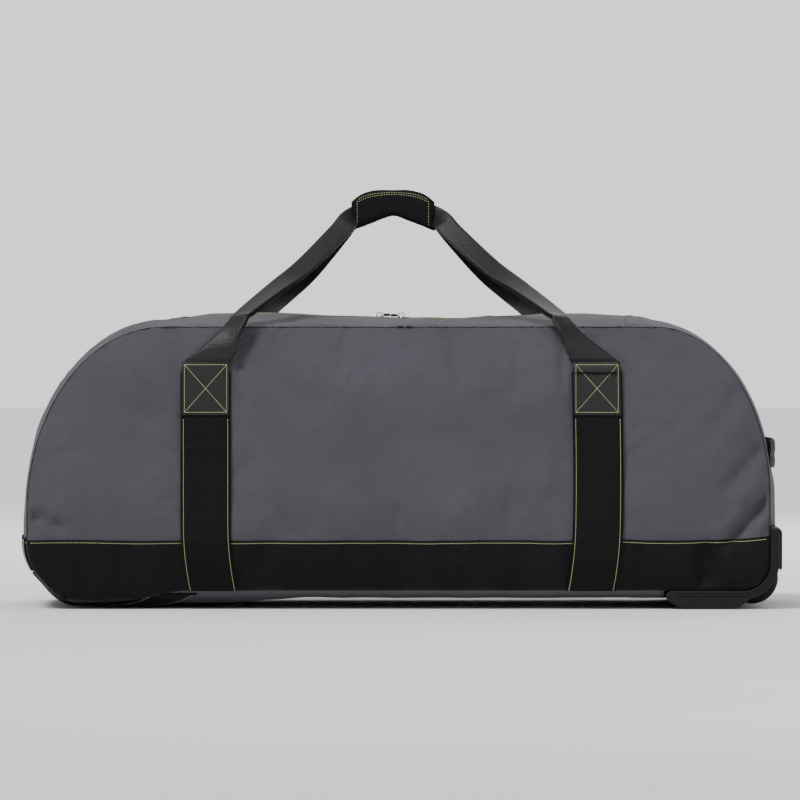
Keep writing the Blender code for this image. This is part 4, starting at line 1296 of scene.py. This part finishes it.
def grab_strap():
    """The doubled strap at the wheel end: two rolled edges with a dip between them."""
    low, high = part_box("grab_handle")
    end_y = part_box("grab_anchor_rear")[1][1]
    middle = (low[2] + high[2]) / 2
    half = (high[2] - low[2]) / 2
    inner_x, outer_x = 0.4490, high[0] - 0.0010

    def section(y, lift, thick):
        ring = []
        for a in spaced(0, 2 * math.pi, 37)[:-1]:
            lobes = 1 - 0.5 * math.exp(-(((math.sin(a) + 0.12) / 0.20) ** 2))
            x = lift + thick / 2 + thick / 2 * math.copysign(abs(math.cos(a)) ** 0.5, math.cos(a)) * lobes
            ring.append(Vector((x, y, middle + half * math.sin(a))))
        return ring

    def lofted(name, stations, blend, replaced):
        points = [p for y, lift, thick in stations for p in section(y, lift, thick)]
        made = mesh_object(name, points, ring_faces(len(stations), 36), WEBBING)
        outward(made)
        settle(made, replaced, "shell", blend)

    panel_x = right_x(middle) + 0.0048
    for word, side in (("front", -1), ("rear", 1)):
        stations = []
        for y in spaced(0, 0.070, 24):
            rise = 1 - ease(0.040, 0.095, y)
            stations.append((side * y, panel_x + (inner_x - panel_x) * rise, outer_x - inner_x - 0.0008))
        blend = ("grab", (0, side * 0.068, 0), (0, side * 0.022, 0))
        lofted("grab_strap_" + word, stations, blend, "grab_handle")
        stations = []
        for y in spaced(0.0702, end_y, 14):
            rise = 1 - ease(0.040, 0.095, y)
            thick = 0.0047 - 0.0022 * ease(0.075, 0.100, y)
            lift = panel_x - 0.0008 * ease(0.08, 0.11, y) + (inner_x - panel_x) * rise
            stations.append((side * y, lift, thick))
        lofted("grab_end_" + word, stations, None, "grab_anchor_" + word)


# Guards and wheels


def arc(centre, radius, first, last, count):
    made = []
    for a in spaced(math.radians(first), math.radians(last), count):
        made.append((centre[0] + radius * math.cos(a), centre[1] + radius * math.sin(a)))
    return made


def guard_outline():
    top, far = HOUSING_HIGH[2], HOUSING_HIGH[0]
    tip = HOUSING_LOW[0]
    inner = arc(BEND, RIGHT_CORNER_R + 0.0005, 0, -90, 18)
    outer = arc(BEND, RIGHT_CORNER_R + 0.011, -78, -8, 18)
    tail = [(tip + 0.0045, BOTTOM_Z - 0.0005), (tip + 0.0008, BOTTOM_Z - 0.0035), (tip, 0.013)]
    tail += [(tip + 0.008, 0.0062), (0.338, 0.0008), (0.345, 0.0), (0.398, 0.0), (0.407, 0.0022)]
    crown = arc((far - 0.006, top - 0.006), 0.006, 0, 90, 7)
    return [(RIGHT_X + 0.0005, top)] + inner + tail + outer + [(far - 0.0012, 0.0455), (far, 0.050)] + crown


def groove_outline(offset, width):
    """A thin channel that runs at a constant distance from the guard's inner edge."""
    made = []
    for distance, turn in ((offset, 1), (offset + width, -1)):
        line = [(BEND[0] + RIGHT_CORNER_R + distance, HOUSING_HIGH[2] - 0.006)]
        line += arc(BEND, RIGHT_CORNER_R + distance, 0, -90, 16)
        line += [(HOUSING_LOW[0] + 0.014, BEND[1] - RIGHT_CORNER_R - distance)]
        made += line[::turn]
    return made


def well_outline(wheel, radius):
    dome = arc(wheel, radius, 30, 240, 40)
    return dome + arc(BEND, RIGHT_CORNER_R + 0.0055, -95, 0, 12)


def cut(piece, cutter, operation="DIFFERENCE"):
    step = piece.modifiers.new("Cut", "BOOLEAN")
    step.operation = operation
    step.object = cutter
    step.solver = "EXACT"
    apply_modifiers(piece)
    bpy.data.objects.remove(cutter, do_unlink=True)


def guard(word):
    low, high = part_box(word + "_wheel_housing")
    tyre_low, tyre_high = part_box(word + "_tyre")
    wheel = ((tyre_low[0] + tyre_high[0]) / 2, (tyre_low[2] + tyre_high[2]) / 2)
    y = (tyre_low[1] + tyre_high[1]) / 2
    radius, half, wall = 0.0345, 0.017, 0.004
    body = prism_object(word + "_guard", guard_outline(), low[1], high[1], 0.0014)
    apply_modifiers(body)
    deep = half + wall
    cut(body, prism_object("well", well_outline(wheel, radius + wall), y - deep, y + deep), "UNION")
    cut(body, prism_object("cavity", arc(wheel, radius, 0, 354, 60), y - half, y + half))
    cut(body, prism_object("bore", arc(wheel, 0.0044, 0, 345, 24), y - 0.03, y + 0.03))
    for offset in (0.0030, 0.0068):
        for face in (low[1], high[1]):
            cut(body, prism_object("channel", groove_outline(offset, 0.0011), face - 0.0008, face + 0.0008))
    for screw in ("a", "b"):
        screw_low, screw_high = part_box(f"{word}_housing_screw_{screw}")
        centre = [(a + b) / 2 for a, b in zip(screw_low, screw_high)]
        for name, size, start in (("seat", 0.0043, HOUSING_HIGH[0] - 0.0032), ("hole", 0.0023, 0.4336)):
            cut(body, rod_x(name, size, start, 0.47, centre[1], centre[2]))
    body.data.shade_smooth()
    body.data.set_sharp_from_angle(angle=math.radians(32))
    settle(body, word + "_wheel_housing")
    wheel_look(word, wheel, y)


def rod_x(name, radius, low_x, high_x, y, z):
    ring = arc((y, z), radius, 0, 345, 24)
    return two_ended(name, [[(x, *place) for place in ring] for x in (low_x, high_x)], MOULDED)


def wheel_look(word, wheel, y):
    radius = (TYRE_HIGH[2] - TYRE_LOW[2]) / 2
    half = (TYRE_HIGH[1] - TYRE_LOW[1]) / 2
    centre = (wheel[0], y, wheel[1])
    profile = [(0.0215, -half), (radius - 0.0060, -half)]
    for a in spaced(-80, 80, 13):
        t = math.radians(a)
        width = (half - 0.0042) * math.sin(t) / math.sin(math.radians(80)) + 0.0042 * math.sin(t) * 0.9
        profile.append((radius - 0.0050 + 0.0050 * math.cos(t), width))
    profile += [(radius - 0.0060, half), (0.0215, half)]
    tread = []
    for r, w in profile:
        groove = 0.0007 if abs(abs(w) - 0.0035) < 0.0008 else 0
        tread.append((r - groove, clamp(w, -half, half)))
    tyre = lathe_object(word + "_tyre_tread", tread, centre, RUBBER, 96)
    settle(tyre, word + "_tyre", word + "_wheel")
    edge, seat, bore = half - 0.001, 0.008, 0.0113
    face = [(0.0212, edge), (0.0196, edge), (0.0188, edge - 0.0018), (0.0135, edge - 0.0018)]
    face += [(0.0128, edge), (bore, edge), (bore, edge - seat), (0.006, edge - seat)]
    hub = face + [(r, -w) for r, w in reversed(face)]
    made = lathe_object(word + "_hub_core", hub, centre, HUB, 72)
    settle(made, word + "_hub", word + "_wheel")
    spokes = []
    for k in range(6):
        a = 2 * math.pi * k / 6
        for face in (-1, 1):
            ray = Vector((math.cos(a), 0, math.sin(a)))
            place = Vector((wheel[0], y + face * (edge - 0.0016), wheel[1])) + ray * 0.0161
            spokes.append((place, ray, Vector((0, face, 0))))
    ribs = scatter(word + "_hub_ribs", spokes, (0.0030, 0.0011, 0.0011), HUB)
    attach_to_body(ribs, word + "_wheel")


def carried_over():
    """CAD pieces whose shape is already right get their finish here."""
    for word in ("front", "rear"):
        for name in ("bearing_inner", "bearing_outer", "axle", "axle_clip"):
            paint(f"{word}_{name}", STEEL)
        for letter in "ab":
            paint(f"{word}_housing_screw_{letter}", STEEL)
    for name in ("base_board", "wheel_end_board"):
        paint(name, BOARD)


def paint(node, look):
    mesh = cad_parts[node].data
    if not mesh.materials:
        mesh.materials.append(look)
    for i in range(len(mesh.materials)):
        mesh.materials[i] = look


def bar_tacks():
    """Two short black tacks on the top front seam, over the middle of the bag."""
    places = []
    for x in (-0.001, 0.0095):
        for k in range(7):
            at = x - 0.003 + 0.001 * k
            place = Vector((at, -SEAM_Y - 0.0022, TOP_Z + 0.0006))
            places.append((place, Vector((0.35, 0, 1)), Vector((0, -1, 0.3))))
    made = scatter("seam_tacks", places, (0.0011, 0.0005, 0.0004), TAPE)
    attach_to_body(made, "shell")


# Studio

CAMERA_AWAY = 14.0
CAMERA_DOWN = math.radians(1.1)
AIM_Z = 0.2475


def studio():
    scene = bpy.context.scene
    camera_data = bpy.data.cameras.new("camera")
    camera_data.lens = 519
    camera_data.clip_end = 100
    camera_data.sensor_width = 36
    camera = bpy.data.objects.new("camera", camera_data)
    camera.location = (-0.0012, -CAMERA_AWAY, AIM_Z + CAMERA_AWAY * math.tan(CAMERA_DOWN))
    camera.rotation_euler = (math.pi / 2 - CAMERA_DOWN, 0, 0)
    scene.collection.objects.link(camera)
    scene.camera = camera
    world = bpy.data.worlds.new("studio")
    scene.world = world
    world.use_nodes = True
    back = world.node_tree.nodes["Background"]
    back.inputs["Color"].default_value = (1.0, 1.0, 1.0, 1)
    seen = world.node_tree.nodes.new("ShaderNodeLightPath")
    bright = world.node_tree.nodes.new("ShaderNodeMapRange")
    bright.inputs["To Min"].default_value = 0.50
    bright.inputs["To Max"].default_value = 1.30
    world.node_tree.links.new(seen.outputs["Is Camera Ray"], bright.inputs[0])
    world.node_tree.links.new(bright.outputs[0], back.inputs["Strength"])
    sun_data = bpy.data.lights.new("key", "SUN")
    sun_data.energy = 2.6
    sun_data.angle = math.radians(18)
    sun = bpy.data.objects.new("key", sun_data)
    sun.rotation_euler = Vector((0.42, 0.62, -1.0)).to_track_quat("-Z", "Y").to_euler()
    scene.collection.objects.link(sun)
    lamp("front", (1.6, -3.0, 1.2), (0, 0, 0.2), 2.0, 14)
    lamp("back", (0.6, 2.8, 2.0), (0, 0, 0.2), 2.2, 40)
    floor_mesh = bpy.data.meshes.new("floor")
    corners = [(-12, -12, -0.0005), (12, -12, -0.0005), (12, 12, -0.0005), (-12, 12, -0.0005)]
    floor_mesh.from_pydata(corners, [], [(0, 1, 2, 3)])
    made, tree, shader = principled("pale_floor", (0.93, 0.93, 0.93), 0.9)
    place = object_place(tree)
    shaded(tree, shader, noise_height(tree, place, 2.0), (0.92, 0.92, 0.92), (0.95, 0.95, 0.95))
    floor_mesh.materials.append(made)
    floor = bpy.data.objects.new("floor", floor_mesh)
    scene.collection.objects.link(floor)


def lamp(name, place, target, size, power):
    data = bpy.data.lights.new(name, "AREA")
    data.size = size
    data.energy = power
    made = bpy.data.objects.new(name, data)
    made.location = place
    made.rotation_euler = (Vector(target) - Vector(place)).to_track_quat("-Z", "Y").to_euler()
    bpy.context.scene.collection.objects.link(made)


studio()
side_panels("front", -1, 11.0)
side_panels("rear", 1, 23.0)
seam_shade_lines("front", -1)
seam_shade_lines("rear", 1)
end_panels()
lower_left()
base_right()
mouth_side("front", -1)
mouth_side("rear", 1)
zip_stops()
sliders()
for facing, direction in (("front", -1), ("rear", 1)):
    web_bands(facing, direction)
    handle_leg(facing, direction, "left", -1)
    handle_leg(facing, direction, "right", 1)
    harness(facing, direction)
    guard(facing)
grip()
haul_strap()
grab_strap()
bar_tacks()
carried_over()
